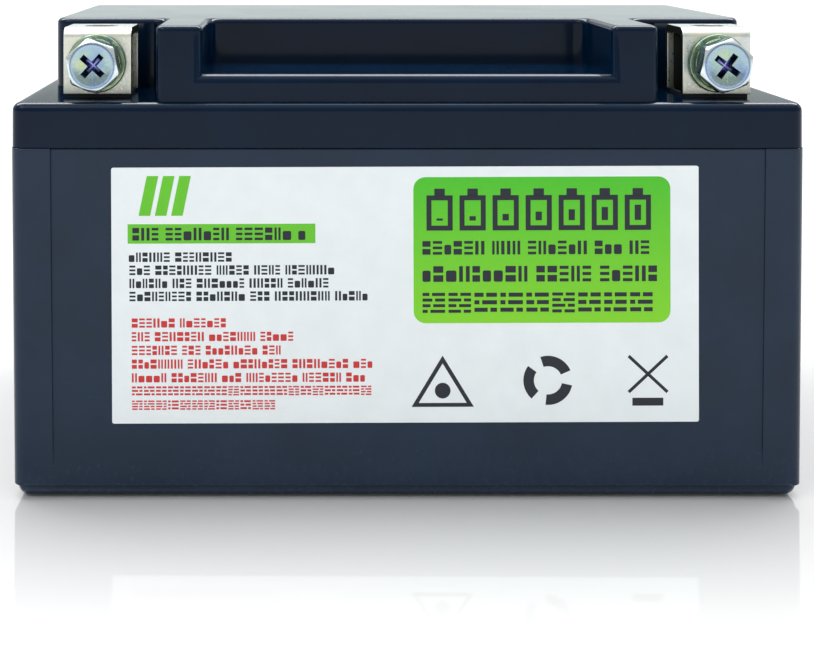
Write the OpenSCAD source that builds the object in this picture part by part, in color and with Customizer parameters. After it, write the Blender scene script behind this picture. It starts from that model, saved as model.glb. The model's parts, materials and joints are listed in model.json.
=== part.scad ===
// Motorcycle starter battery, lithium iron phosphate, 12 V class, in millimetres.
// Origin: centre of the case's footprint, on the face that it stands on.
// +Z is up, the label and the terminals face -Y, and the positive terminal is at -X.

/* [Case] */
// Length of the case, left to right
case_l = 151.8; // [150:0.1:152]
// Width of the case, front to back
case_w = 87; // [87:0.25:88]
// Height from the standing face to the top of the raised block
case_h = 90.2; // [89.8:0.1:91]
// Height of the seam between case and lid
seam_z = 66.9; // [66.5:0.1:67.2]
// Height of the shoulder around the raised block
ledge_z = 75.6; // [75.4:0.1:75.8]
// Thickness of the moulded walls
wall = 2.5; // [2.2:0.1:2.6]
// Thickness of the case floor
floor_t = 3; // [2.5:0.1:3]
// Radius of the upright outer corners
corner_r = 2.5; // [1.5:0.5:4]
// Height of the narrower foot under the walls
foot_h = 2.5; // [2.2:0.1:3]
// How far the foot stands in from the walls
foot_inset = 0.6; // [0.4:0.1:1.2]
// Rounding under the foot
foot_r = 2.2; // [1:0.1:2.3]
// Depth of the shallow panels sunk in the walls
panel_depth = 0.5; // [0.3:0.1:0.8]
// Margin between a sunk panel and the case's upright corners
panel_margin = 7.8; // [5:0.2:12]
// Height of the lower edge of the sunk panels
panel_z = 5.3; // [4:0.1:8]

/* [Lid] */
// Lid stands this far inside the case walls
lid_inset = 0.1; // [0.05:0.05:0.3]
// Rounding of the shoulder's outer edge
ledge_r = 1.7; // [1:0.1:2]
// Half length of the raised block
block_half_l = 71.8; // [71.5:0.1:72]
// Front wall of the raised block, behind the front of the case
block_front = 26; // [25.8:0.1:26.2]
// Back wall of the raised block, behind the front of the case
block_back = 82.5; // [82:0.1:82.8]
// Upright corner radius of the raised block
block_r = 3; // [2:0.5:4]
// Rounding of the top edges of the block and the pillars
top_r = 1.1; // [0.8:0.1:1.2]
// Inner side of each pillar, from the middle
pillar_in = 39.3; // [39:0.1:40]
// Outer side of each pillar, from the middle
pillar_out = 48.4; // [47.2:0.1:48.6]
// Front of the pillars and of the low band, behind the front of the case
pillar_front = 2; // [1.6:0.1:2.4]
// Height of the floor between the pillars
band_z = 80.8; // [80.4:0.1:81.4]

/* [Terminals] */
// Half distance between the two terminals
term_x = 61; // [60.9:0.1:61.2]
// How far both terminals sit to the right of a symmetric place
term_shift = 0.5; // [0:0.1:0.6]
// Width of the folded terminal plate
term_w = 13.4; // [13:0.1:13.6]
// Front face of the terminals, behind the front of the case
term_front = 9; // [8.8:0.1:9.2]
// Depth of the folded terminal, front to back
term_d = 13; // [12.8:0.1:13.2]
// Height of the top of the terminals
term_top = 89.4; // [88.9:0.1:89.5]
// Thickness of the terminal plate
plate_t = 1.6; // [1.5:0.1:1.7]
// Outer bend radius of the terminal plate
bend_r = 2; // [1.8:0.1:2.6]
// Diameter of the bolt holes in the terminal plate
plate_hole_d = 6.5; // [6.4:0.1:6.6]
// Height of the bolt's axis
bolt_z = 82.4; // [82.3:0.1:82.5]
// Height of the bottom end of the terminal's tail
tail_bottom = 62.5; // [62.5:0.1:64]
// Width of the terminal's tail
tail_w = 8; // [7:0.5:9]

/* [Bolts] */
// Nominal thread diameter
bolt_d = 6; // [6:6]
// Length of the bolt under its head
bolt_l = 12; // [11:0.5:12]
// Width of the hexagon across its flats
hex_af = 9.5; // [9.4:0.1:10]
// Height of the hexagon head
head_h = 4; // [3.8:0.1:4.2]
// Thickness of the spring washer
spring_t = 1.5; // [1.4:0.1:1.6]
// Outer diameter of the spring washer
spring_d = 10; // [9.6:0.1:10.4]
// Thickness of the flat washer
flat_t = 1.5; // [1.2:0.1:1.6]
// Outer diameter of the flat washer
flat_d = 11.5; // [11:0.1:12.5]
// Turn of the left head in its tightened place
left_head_turn = 41; // [0:1:60]
// Turn of the right head in its tightened place
right_head_turn = 19; // [0:1:60]

/* [Label] */
// Width of the front label
label_w = 112; // [100:1:125]
// How far the label sits to the left of the middle
label_shift = 0.5; // [0:0.1:1]
// Height of the front label's lower edge
label_z0 = 14.5; // [10:0.5:20]
// Height of the front label's upper edge
label_z1 = 63.4; // [55:0.2:64.6]
// Thickness of the label
label_t = 0.15; // [0.1:0.05:0.3]

/* [Cells] */
// Radius of one cell over its sleeve
cell_r = 13.1; // [13:0.05:13.1]
// Length of one cell over its button
cell_l = 65.3; // [65:0.1:65.3]
// Height of the underside of the cells
cell_z = 5.6; // [5.6:0.1:5.7]
// Distance between cell rows, left to right
pitch_x = 27.5; // [27.2:0.1:27.6]
// Distance between cell rows, front to back
pitch_y = 26.7; // [26.6:0.05:26.75]
// Depth that a cell holder grips each cell
grip_h = 9; // [6:0.5:12]

/* [Protection board] */
// Length of the board
board_l = 125; // [120:0.5:126]
// Front edge of the board, from the middle of the case
board_y0 = -12; // [-13:0.1:-11]
// Back edge of the board, from the middle of the case
board_y1 = 33; // [32:0.1:34]
// Height of the underside of the board
board_z = 78.4; // [78.2:0.1:78.6]
// Thickness of the board
board_t = 1.6; // [1.2:0.1:1.6]

/* [Hidden] */

LEFT = -1;
RIGHT = 1;
front_y = -case_w / 2;
cut = 1;

// Places along the depth, as Y
block_y0 = front_y + block_front;
block_y1 = front_y + block_back;
pillar_y0 = front_y + pillar_front;
term_y0 = front_y + term_front;
term_y1 = term_y0 + term_d;
term_mid_y = (term_y0 + term_y1) / 2;

// Joint between case and lid
tongue_h = 1.7;
seal_t = 0.3;
rabbet_h = tongue_h + seal_t;
rabbet_w = wall / 2 - 0.05;
tongue_gap = 0.1;
lid_under_z = ledge_z - wall;
ceiling_z = case_h - wall;
inner_r = 1;
pillar_r = 1;
pillar_skin = 2.2;

// Terminal
function term_cx(side) = side * term_x + term_shift;
seal_pad_t = 0.6;
term_z0 = ledge_z + seal_pad_t;
plate_gap = 0.05;
slot_gap = 0.3;
block_half_w = 5.5;
thread_r = bolt_d / 2;
shank_r = thread_r - 0.05;

// Bolt
washer_hole_r = thread_r + 0.2;
head_chamfer = 0.55;
head_face_r = hex_af / 2 - 0.4;
bolt_tip = 0.8;
slit_w = 0.8;
slit_slant = 25;
cross_span = 5.4;
cross_w = 1.15;
cross_depth = 2.2;
left_cross_turn = 48;
right_cross_turn = 53;

// Cells: four columns in series, three cells in parallel in each
columns = [-1.5, -0.5, 0.5, 1.5];
rows = [-1, 0, 1];
can_r = cell_r - 0.15;
film_t = 0.15;
can_wall = 0.3;
crimp_r = can_r - 0.75;
cap_r = 9.2;
button_r = 6.5;
cap_t = 0.8;
gasket_h = 1;
rim_drop = 0.7;
cell_top = cell_z + cell_l;
bore_r = cell_r + 0.05;
lip_t = 0.6;
lip_r = 10.5;
gap_hole_r = 4.3;
holder_rim = 0.6;
holder_r = 6;
holder_l = 2 * (1.5 * pitch_x + bore_r + holder_rim + 0.25);
holder_w = 2 * (pitch_y + bore_r + holder_rim);
sleeve_lap = 1.3;
core_r = 1.5;
roll_gap = 0.05;
link_t = 0.3;
link_half_w = 8;
link_end = 9;
link_r = 2;
bottom_link_z = cell_z - lip_t - link_t;
top_link_z = cell_top + lip_t;
contact_r = 5.5;
ear_reach = 64;
ear_half_w = 4;
tape_z = 34;
tape_w = 12;
tape_t = 0.25;
sheet_z = top_link_z + link_t + 0.2;
sheet_t = 0.4;
sheet_top = sheet_z + sheet_t;
hole_gap = 0.4;

// Soft packing between the cells and the case
pad_gap = 1;
pad_z0 = floor_t + 0.05;
pad_z1 = floor_t + 1;
lower_sheet_z0 = floor_t + 1.1;
lower_sheet_z1 = floor_t + 1.4;
foam_half_w = 39;
foam_gap = 0.6;

// Wiring
lead_x = 59.5;
lead_r = 2.1;
lead_z = 66.5;
lead_bend = 3.5;
positive_ear_y = 0.5;
negative_rise_y = -5;
pack_negative_at = [37, 26];
wire_r = 0.6;
wire_bend = 1.5;
wire_run_z = 75.2;
wire_turn_x = -64.5;
wire_pitch = 2.5;
plug_z = 83;
tap_x = [-1.5 * pitch_x, -pitch_x, 0, pitch_x, 1.5 * pitch_x];
tap_z = [
    top_link_z + link_t, bottom_link_z + link_t, top_link_z + link_t,
    bottom_link_z + link_t, top_link_z + link_t
];
fillet_h = 1.6;
fillet_r = 2.9;

// Board parts
board_top = board_z + board_t;
post_x = 49;
post_y = [-7, 28];
post_base_r = 4;
post_base_h = 0.8;
post_r = 2.4;
post_hole_depth = 4.5;
post_hole_gap = 0.35;
screw_r = 1.25;
screw_l = 5;
screw_head_r = 2.6;
screw_head_h = 1.6;
screw_slot = [3, 0.7, 1];
board_r = 1.5;
transistor = [6.6, 6.1, 2.3];
transistor_rows = [-4, 7];
transistor_pitch = 13;
leg = [0.8, 2.8, 0.5];
leg_x = 2.3;
bank_y = 1.5;
thermal = [80, 19, 0.5];
spreader = [84, 21, 2];
spreader_z = board_top + transistor[2] + thermal[2];
fin = [84, 1.8, 0.9];
foam = [76, 16];
chips = [
    [[-22, 22], [10, 10, 1.4]], [[-2, 22], [8, 5, 1.6]], [[30.5, 22], [5, 4, 1.4]]
];
shunt = [6.4, 3.2, 0.8];
shunt_at = [50, 3];
shunt_pitch = 5;
capacitor_at = [13, 24];
capacitor_pitch = 8;
capacitor_r = 2.5;
capacitor_h = 5.4;
capacitor_base = [2.9, 0.9];
plug_x = -61;
header_x = -56;
header = [6, 15.2, 6];
header_wall = 0.7;
header_back = 1.5;
plug_gap = 0.1;
sensor_at = [pitch_x, -pitch_y / 2];
sensor_rise_y = -8;
sensor_z = 50;
sensor_r = 1.8;
sensor_l = 6;

// ---------- shared shapes ----------

// Flat outline, x centred, y from 0: its lower and its upper corners are rounded separately
module soft_rect(w, h, r_low, r_high) {
    translate([-w / 2, r_low]) square([w, h - r_low - r_high]);
    translate([-w / 2 + r_low, 0]) square([w - 2 * r_low, h - r_high]);
    translate([-w / 2 + r_high, r_low]) square([w - 2 * r_high, h - r_low]);
    for (s = [-1, 1]) {
        if (r_low > 0) translate([s * (w / 2 - r_low), r_low]) circle(r_low);
        if (r_high > 0) translate([s * (w / 2 - r_high), h - r_high]) circle(r_high);
    }
}

// Upright block with a rounded plan
module rounded_slab(x0, x1, y0, y1, z0, z1, r) {
    translate([(x0 + x1) / 2, y0, z0])
        linear_extrude(z1 - z0) soft_rect(x1 - x0, y1 - y0, r, r);
}

// Upright block with a rounded plan and rounded lower and upper edges
module soft_block(x0, x1, y0, y1, z0, z1, plan_r, low_r, high_r) {
    intersection() {
        rounded_slab(x0, x1, y0, y1, z0, z1, plan_r);
        translate([(x0 + x1) / 2, y1 + cut, z0]) rotate([90, 0, 0])
            linear_extrude(y1 - y0 + 2 * cut) soft_rect(x1 - x0, z1 - z0, low_r, high_r);
        translate([x0 - cut, (y0 + y1) / 2, z0]) rotate([90, 0, 90])
            linear_extrude(x1 - x0 + 2 * cut) soft_rect(y1 - y0, z1 - z0, low_r, high_r);
    }
}

module box(x0, x1, y0, y1, z0, z1) {
    translate([x0, y0, z0]) cube([x1 - x0, y1 - y0, z1 - z0]);
}

// Block with its plan centred on a point and its underside at z0
module block_at(at, size, z0) {
    translate([at[0] - size[0] / 2, at[1] - size[1] / 2, z0]) cube(size);
}

// Ring along the case wall, between two distances in from the outside
module wall_ring(out_in, in_in, z0, z1) {
    least_r = 0.5;
    difference() {
        rounded_slab(-case_l / 2 + out_in, case_l / 2 - out_in,
            -case_w / 2 + out_in, case_w / 2 - out_in, z0, z1, max(corner_r - out_in, least_r));
        rounded_slab(-case_l / 2 + in_in, case_l / 2 - in_in,
            -case_w / 2 + in_in, case_w / 2 - in_in, z0 - cut, z1 + cut, least_r);
    }
}

// Round cable along axis-parallel legs, with quarter bends at the corners
module cable(path, r, bend) {
    last = len(path) - 1;
    for (i = [0 : last - 1]) {
        leg = path[i + 1] - path[i];
        way = leg / norm(leg);
        start = path[i] + way * (i == 0 ? 0 : bend);
        length = norm(leg) - (i == 0 ? 0 : bend) - (i == last - 1 ? 0 : bend);
        translate(start) point_along(way) cylinder(r = r, h = length);
    }
    if (last > 1) for (i = [1 : last - 1]) {
        inward = (path[i] - path[i - 1]) / norm(path[i] - path[i - 1]);
        onward = (path[i + 1] - path[i]) / norm(path[i + 1] - path[i]);
        side = cross(inward, onward);
        centre = path[i] - bend * inward + bend * onward;
        multmatrix([
            [-onward[0], inward[0], side[0], centre[0]],
            [-onward[1], inward[1], side[1], centre[1]],
            [-onward[2], inward[2], side[2], centre[2]],
            [0, 0, 0, 1]
        ]) rotate_extrude(angle = 90) translate([bend, 0]) circle(r);
    }
}

// Turns +Z to an axis-parallel direction
module point_along(way) {
    if (way[0] != 0) rotate([0, 90 * sign(way[0]), 0]) children();
    else if (way[1] != 0) rotate([-90 * sign(way[1]), 0, 0]) children();
    else if (way[2] < 0) mirror([0, 0, 1]) children();
    else children();
}

// ---------- case, lid and label ----------

module wall_panels() {
    reach_x = case_l / 2 - panel_margin;
    reach_y = case_w / 2 - panel_margin;
    for (s = [-1, 1]) {
        translate([0, s * (case_w / 2), 0])
            box(-reach_x, reach_x, -panel_depth, panel_depth, panel_z, seam_z + cut);
        translate([s * (case_l / 2), 0, 0])
            box(-panel_depth, panel_depth, -reach_y, reach_y, panel_z, seam_z + cut);
    }
}

module case() {
    half_l = case_l / 2;
    half_w = case_w / 2;
    color([0.11, 0.13, 0.20]) difference() {
        union() {
            rounded_slab(-half_l, half_l, -half_w, half_w, foot_h, seam_z, corner_r);
            soft_block(-half_l + foot_inset, half_l - foot_inset,
                -half_w + foot_inset, half_w - foot_inset, 0, foot_h + cut,
                corner_r, foot_r, 0);
        }
        rounded_slab(-half_l + wall, half_l - wall, -half_w + wall, half_w - wall,
            floor_t, seam_z + cut, inner_r);
        rounded_slab(-half_l + wall - rabbet_w, half_l - wall + rabbet_w,
            -half_w + wall - rabbet_w, half_w - wall + rabbet_w,
            seam_z - rabbet_h, seam_z + cut, inner_r);
        wall_panels();
    }
}

module lid_outside() {
    half_l = case_l / 2 - lid_inset;
    half_w = case_w / 2 - lid_inset;
    soft_block(-half_l, half_l, -half_w, half_w, seam_z, ledge_z, corner_r, 0, ledge_r);
    soft_block(-block_half_l, block_half_l, block_y0, block_y1, seam_z, case_h,
        block_r, 0, top_r);
    soft_block(-pillar_out, pillar_out, pillar_y0, block_y0 + 2 * wall, seam_z, band_z,
        pillar_r, 0, top_r);
    for (s = [LEFT, RIGHT]) {
        middle = s * (pillar_in + pillar_out) / 2;
        half = (pillar_out - pillar_in) / 2;
        soft_block(middle - half, middle + half, pillar_y0, block_y0 + 2 * wall,
            seam_z, case_h, pillar_r, 0, top_r);
    }
}

module lid_inside() {
    half_l = case_l / 2 - wall;
    half_w = case_w / 2 - wall;
    reach = block_y0 + 2 * wall;
    rounded_slab(-half_l, half_l, -half_w, half_w, seam_z - cut, lid_under_z, inner_r);
    rounded_slab(-block_half_l + wall, block_half_l - wall, block_y0 + wall, block_y1 - wall,
        seam_z - cut, ceiling_z, inner_r);
    box(-pillar_in + wall, pillar_in - wall, pillar_y0 + wall, reach, seam_z - cut,
        band_z - wall);
    for (s = [LEFT, RIGHT]) {
        middle = s * (pillar_in + pillar_out) / 2;
        half = (pillar_out - pillar_in) / 2 - pillar_skin;
        box(middle - half, middle + half, pillar_y0 + wall, reach, seam_z - cut, ceiling_z);
        tail_slot(s, lid_under_z - cut, ledge_z + cut, slot_gap);
    }
}

// Straight opening for a terminal's tail, wider than the tail by gap all round
module tail_slot(side, z0, z1, gap) {
    box(term_cx(side) - tail_w / 2 - gap, term_cx(side) + tail_w / 2 + gap,
        term_y1 - plate_t - gap, term_y1 + gap, z0, z1);
}

module lid() {
    color([0.09, 0.11, 0.17]) difference() {
        union() {
            difference() {
                lid_outside();
                lid_inside();
            }
            wall_ring(wall - rabbet_w + tongue_gap, wall, seam_z - tongue_h, seam_z + cut);
        }
    }
}

module lid_seal() {
    color([0.05, 0.05, 0.06])
        wall_ring(wall - rabbet_w, wall, seam_z - rabbet_h, seam_z - tongue_h);
}

module front_label() {
    panel_y = front_y + panel_depth;
    color([0.92, 0.95, 0.94])
        box(-label_w / 2 - label_shift, label_w / 2 - label_shift, panel_y - label_t, panel_y,
            label_z0, label_z1);
}

// ---------- terminals and their fasteners ----------

// Moves to a terminal's front face on its bolt axis, with +Z pointing out to the front
module on_bolt_axis(side) {
    translate([term_cx(side), term_y0, bolt_z]) rotate([90, 0, 0]) children();
}

module terminal(side) {
    height = term_top - term_z0;
    inner_h = height - plate_t;
    color([0.86, 0.87, 0.82]) difference() {
        union() {
            translate([term_cx(side) - term_w / 2, term_mid_y, term_z0]) rotate([90, 0, 90])
                linear_extrude(term_w) difference() {
                    soft_rect(term_d, height, 0, bend_r);
                    translate([0, -cut])
                        soft_rect(term_d - 2 * plate_t, inner_h + cut, 0, bend_r - plate_t);
                }
            tail_slot(side, tail_bottom, term_z0 + plate_t, 0);
        }
        translate([term_cx(side), term_mid_y, term_top - 2 * plate_t])
            cylinder(d = plate_hole_d, h = 3 * plate_t);
        translate([term_cx(side), term_y0 + 2 * plate_t, bolt_z]) rotate([90, 0, 0])
            cylinder(d = plate_hole_d, h = 3 * plate_t);
    }
}

module nut_block(side) {
    y0 = term_y0 + plate_t + plate_gap;
    y1 = term_y1 - plate_t - plate_gap;
    z0 = term_z0 + plate_gap;
    z1 = term_top - plate_t - plate_gap;
    color([0.72, 0.72, 0.62]) difference() {
        translate([term_cx(side) - block_half_w, (y0 + y1) / 2, z0]) rotate([90, 0, 90])
            linear_extrude(2 * block_half_w) soft_rect(y1 - y0, z1 - z0, 0, bend_r - plate_t);
        on_bolt_axis(side) translate([0, 0, -term_d]) cylinder(r = thread_r, h = term_d);
        translate([term_cx(side), term_mid_y, bolt_z])
            cylinder(r = thread_r, h = z1 - bolt_z + cut);
    }
}

module terminal_seal(side) {
    margin = 0.5;
    color([0.06, 0.06, 0.07]) difference() {
        box(term_cx(side) - term_w / 2 + margin, term_cx(side) + term_w / 2 - margin,
            term_y0 + margin, term_y1 + 2 * margin, ledge_z, term_z0);
        tail_slot(side, ledge_z - cut, term_z0 + cut, 0);
    }
}

// Bolt with its head in the tightened place; head_z is the underside of its head.
// The chamfer's cone starts outside the hexagon, so it meets each corner's edge cleanly.
module bolt(side, head_turn, cross_turn) {
    head_z = flat_t + spring_t;
    head_top = head_z + head_h;
    corner_radius = hex_af / 2 / cos(30);
    cone_r = 2 * corner_radius - head_face_r;
    cone_z = head_top - 2 * head_chamfer;
    color([0.74, 0.80, 0.82]) on_bolt_axis(side) {
        difference() {
            intersection() {
                rotate([0, 0, head_turn]) translate([0, 0, head_z])
                    cylinder(r = corner_radius, h = head_h, $fn = 6);
                union() {
                    translate([0, 0, head_z - cut]) cylinder(r = cone_r, h = cone_z - head_z + cut);
                    translate([0, 0, cone_z])
                        cylinder(r1 = cone_r, r2 = head_face_r, h = 2 * head_chamfer);
                }
            }
            for (turn = [0, 90]) rotate([0, 0, cross_turn + turn])
                translate([-cross_span / 2, -cross_w / 2, head_top - cross_depth])
                    cube([cross_span, cross_w, cross_depth + cut]);
        }
        translate([0, 0, head_z - bolt_l + bolt_tip])
            cylinder(r = shank_r, h = bolt_l - bolt_tip + cut);
        translate([0, 0, head_z - bolt_l])
            cylinder(r1 = shank_r - bolt_tip, r2 = shank_r, h = bolt_tip);
    }
}

module spring_washer(side) {
    color([0.70, 0.72, 0.60]) on_bolt_axis(side) translate([0, 0, flat_t]) difference() {
        cylinder(d = spring_d, h = spring_t);
        translate([0, 0, -cut]) cylinder(r = washer_hole_r, h = spring_t + 2 * cut);
        rotate([slit_slant, 0, 0]) translate([0, -slit_w / 2, -2 * spring_t])
            cube([spring_d, slit_w, 5 * spring_t]);
    }
}

module flat_washer(side) {
    color([0.76, 0.76, 0.62]) on_bolt_axis(side) difference() {
        cylinder(d = flat_d, h = flat_t);
        translate([0, 0, -cut]) cylinder(r = washer_hole_r, h = flat_t + 2 * cut);
    }
}

// ---------- cell pack ----------

function cell_x(c) = columns[c] * pitch_x;
function is_up(c) = c % 2 == 0;

// Puts a piece of one upright cell, drawn from its flat end at 0, into all twelve places
module in_each_cell() {
    for (c = [0 : 3]) for (r = rows) translate([cell_x(c), r * pitch_y, 0])
        if (is_up(c)) translate([0, 0, cell_z]) children();
        else translate([0, 0, cell_top]) mirror([0, 0, 1]) children();
}

// Inside height of a can, from the underside of its floor to the underside of its crimp
can_top = cell_l - rim_drop;
can_neck = can_top - gasket_h;

module cell_cans() {
    color([0.70, 0.71, 0.72]) in_each_cell() difference() {
        translate([0, 0, film_t]) cylinder(r = can_r, h = can_top - film_t);
        translate([0, 0, film_t + can_wall])
            cylinder(r = can_r - can_wall, h = can_neck - film_t - can_wall);
        translate([0, 0, can_neck - cut]) cylinder(r = crimp_r, h = gasket_h + 2 * cut);
    }
}

module cell_electrode_rolls() {
    color([0.25, 0.26, 0.28]) in_each_cell() difference() {
        translate([0, 0, film_t + can_wall + roll_gap])
            cylinder(r = can_r - can_wall - roll_gap,
                h = can_neck - film_t - can_wall - 2 * roll_gap);
        cylinder(r = core_r, h = cell_l);
    }
}

module cell_caps() {
    color([0.78, 0.78, 0.76]) in_each_cell() {
        translate([0, 0, can_neck]) cylinder(r = cap_r, h = cap_t);
        translate([0, 0, can_neck]) cylinder(r = button_r, h = cell_l - can_neck);
    }
}

module cell_gaskets() {
    color([0.92, 0.92, 0.90]) in_each_cell() difference() {
        translate([0, 0, can_neck]) cylinder(r = crimp_r, h = gasket_h);
        translate([0, 0, can_neck - cut]) cylinder(r = cap_r, h = gasket_h + 2 * cut);
    }
}

module cell_sleeves() {
    color([0.10, 0.35, 0.62]) in_each_cell() difference() {
        cylinder(r = cell_r, h = can_top + film_t);
        translate([0, 0, film_t]) cylinder(r = can_r, h = can_top - film_t);
        translate([0, 0, -cut]) cylinder(r = lip_r, h = 3 * cut);
        translate([0, 0, can_top - cut]) cylinder(r = lip_r + sleeve_lap, h = 3 * cut);
    }
}

// Plan of a cell holder: its outline with round openings of radius r over the cells
module holder_plan(r) {
    difference() {
        translate([0, -holder_w / 2]) soft_rect(holder_l, holder_w, holder_r, holder_r);
        for (c = [0 : 3]) for (row = rows) translate([cell_x(c), row * pitch_y]) circle(r);
        for (x = [-1, 0, 1]) for (y = [-0.5, 0.5])
            translate([x * pitch_x, y * pitch_y]) circle(gap_hole_r);
    }
}

module cell_holder() {
    linear_extrude(lip_t) holder_plan(lip_r);
    translate([0, 0, lip_t]) linear_extrude(grip_h) holder_plan(bore_r);
}

module lower_cell_holder() {
    color([0.12, 0.12, 0.13]) translate([0, 0, cell_z - lip_t]) cell_holder();
}

module upper_cell_holder() {
    color([0.12, 0.12, 0.13]) translate([0, 0, cell_top + lip_t]) mirror([0, 0, 1])
        cell_holder();
}

// Nickel strip over the columns first to last, with a pressed contact on each cell
module link(first, last, plate_z, plain_end, button_end) {
    x0 = cell_x(first) - link_half_w;
    x1 = cell_x(last) + link_half_w;
    y = pitch_y + link_end;
    at_top = plate_z > cell_z;
    rounded_slab(x0, x1, -y, y, plate_z, plate_z + link_t, link_r);
    for (c = [first : last]) for (r = rows) {
        end_z = is_up(c) == at_top ? button_end : plain_end;
        z0 = at_top ? end_z : plate_z;
        z1 = at_top ? plate_z + link_t : end_z;
        translate([cell_x(c), r * pitch_y, z0]) cylinder(r = contact_r, h = z1 - z0);
    }
}

module bottom_series_links() {
    color([0.80, 0.79, 0.74]) {
        link(0, 1, bottom_link_z, cell_z + film_t, cell_z);
        link(2, 3, bottom_link_z, cell_z + film_t, cell_z);
    }
}

module top_link(first, last) {
    link(first, last, top_link_z, cell_top - film_t, cell_top);
}

module top_series_link() {
    color([0.80, 0.79, 0.74]) top_link(1, 2);
}

module positive_busbar() {
    color([0.80, 0.79, 0.74]) {
        top_link(0, 0);
        box(-ear_reach, cell_x(0), positive_ear_y - ear_half_w, positive_ear_y + ear_half_w,
            top_link_z, top_link_z + link_t);
    }
}

module negative_busbar() {
    color([0.80, 0.79, 0.74]) top_link(3, 3);
}

module pack_tape() {
    half_l = 1.5 * pitch_x + cell_r;
    half_w = pitch_y + cell_r;
    color([0.80, 0.76, 0.60]) difference() {
        rounded_slab(-half_l - tape_t, half_l + tape_t, -half_w - tape_t, half_w + tape_t,
            tape_z, tape_z + tape_w, cell_r + tape_t);
        rounded_slab(-half_l, half_l, -half_w, half_w, tape_z - cut, tape_z + tape_w + cut,
            cell_r);
    }
}

module bottom_pad() {
    half_l = case_l / 2 - wall - pad_gap;
    half_w = case_w / 2 - wall - pad_gap;
    color([0.20, 0.20, 0.21]) box(-half_l, half_l, -half_w, half_w, pad_z0, pad_z1);
}

module bottom_insulation_sheet() {
    color([0.86, 0.80, 0.62])
        box(-holder_l / 2, holder_l / 2, -holder_w / 2, holder_w / 2,
            lower_sheet_z0, lower_sheet_z1);
}

module side_foam(side) {
    inner = holder_l / 2 + foam_gap;
    outer = case_l / 2 - wall - foam_gap;
    color([0.16, 0.16, 0.17])
        box(min(side * inner, side * outer), max(side * inner, side * outer),
            -foam_half_w, foam_half_w, lower_sheet_z1, tail_bottom - 1);
}

module top_insulation_sheet() {
    color([0.86, 0.80, 0.62]) difference() {
        box(-holder_l / 2, holder_l / 2, -holder_w / 2, holder_w / 2, sheet_z, sheet_top);
        for (k = [0 : 4]) translate([tap_x[k], wire_y(k), sheet_z - cut])
            cylinder(r = wire_r + hole_gap, h = 3 * cut);
        translate([pack_negative_at[0], pack_negative_at[1], sheet_z - cut])
            cylinder(r = fillet_r + hole_gap, h = 3 * cut);
        translate([sensor_at[0], sensor_at[1], sheet_z - cut])
            cylinder(r = wire_r + hole_gap, h = 3 * cut);
    }
}

// ---------- protection board ----------

module at_each_post() {
    for (s = [LEFT, RIGHT]) for (y = post_y) translate([s * post_x, y, 0]) children();
}

module bms_board() {
    color([0.05, 0.32, 0.16]) difference() {
        rounded_slab(-board_l / 2, board_l / 2, board_y0, board_y1, board_z, board_top, board_r);
        at_each_post() translate([0, 0, board_z - cut])
            cylinder(r = screw_r + post_hole_gap, h = board_t + 2 * cut);
    }
}

module bms_standoffs() {
    color([0.90, 0.90, 0.86]) at_each_post() difference() {
        union() {
            translate([0, 0, sheet_top]) cylinder(r = post_base_r, h = post_base_h);
            translate([0, 0, sheet_top]) cylinder(r = post_r, h = board_z - sheet_top);
        }
        translate([0, 0, board_z - post_hole_depth])
            cylinder(r = screw_r + 0.05, h = post_hole_depth + cut);
    }
}

module bms_screws() {
    slot_z = board_top + screw_head_h - screw_slot[2];
    color([0.75, 0.76, 0.78]) at_each_post() difference() {
        union() {
            translate([0, 0, board_top]) cylinder(r = screw_head_r, h = screw_head_h);
            translate([0, 0, board_top - screw_l]) cylinder(r = screw_r, h = screw_l + cut / 2);
        }
        for (turn = [0, 90]) rotate([0, 0, turn])
            block_at([0, 0], [screw_slot[0], screw_slot[1], 2 * screw_slot[2]], slot_z);
    }
}

module bms_transistors() {
    color([0.08, 0.08, 0.09]) for (k = [-2.5 : 2.5]) for (y = transistor_rows)
        translate([k * transistor_pitch, y, 0]) {
            block_at([0, 0], transistor, board_top);
            for (s = [-1, 1])
                block_at([s * leg_x, transistor[1] / 2 + leg[1] / 2 - 0.2], leg, board_top);
        }
}

module bms_thermal_pad() {
    color([0.55, 0.62, 0.70])
        block_at([0, bank_y], thermal, board_top + transistor[2]);
}

module bms_heat_spreader() {
    fin_y = (spreader[1] - fin[1]) / 2;
    color([0.78, 0.79, 0.80]) {
        block_at([0, bank_y], spreader, spreader_z);
        for (s = [-1, 1])
            block_at([0, bank_y + s * fin_y], [fin[0], fin[1], spreader[2] + fin[2]], spreader_z);
    }
}

module bms_foam_pad() {
    z0 = spreader_z + spreader[2] + 0.1;
    color([0.18, 0.18, 0.19])
        block_at([0, bank_y], [foam[0], foam[1], ceiling_z - 0.1 - z0], z0);
}

module bms_shunts() {
    color([0.30, 0.30, 0.32]) for (k = [0 : 3])
        block_at([shunt_at[0], shunt_at[1] + k * shunt_pitch], shunt, board_top);
}

module bms_chips() {
    color([0.07, 0.07, 0.08]) for (chip = chips) block_at(chip[0], chip[1], board_top);
}

module bms_capacitors() {
    color([0.35, 0.36, 0.40]) for (k = [0, 1])
        translate([capacitor_at[0] + k * capacitor_pitch, capacitor_at[1], board_top]) {
            cylinder(r = capacitor_base[0], h = capacitor_base[1]);
            cylinder(r = capacitor_r, h = capacitor_h);
        }
}

// Socket on the board, open to the left, and the plug in it
module balance_header() {
    y0 = wire_y(2) - header[1] / 2;
    y1 = wire_y(2) + header[1] / 2;
    color([0.92, 0.92, 0.88]) difference() {
        box(header_x, header_x + header[0], y0, y1, board_top, board_top + header[2]);
        box(header_x - cut, header_x + header[0] - header_back, y0 + header_wall,
            y1 - header_wall, board_top + header_wall, board_top + header[2] - header_wall);
    }
}

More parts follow.
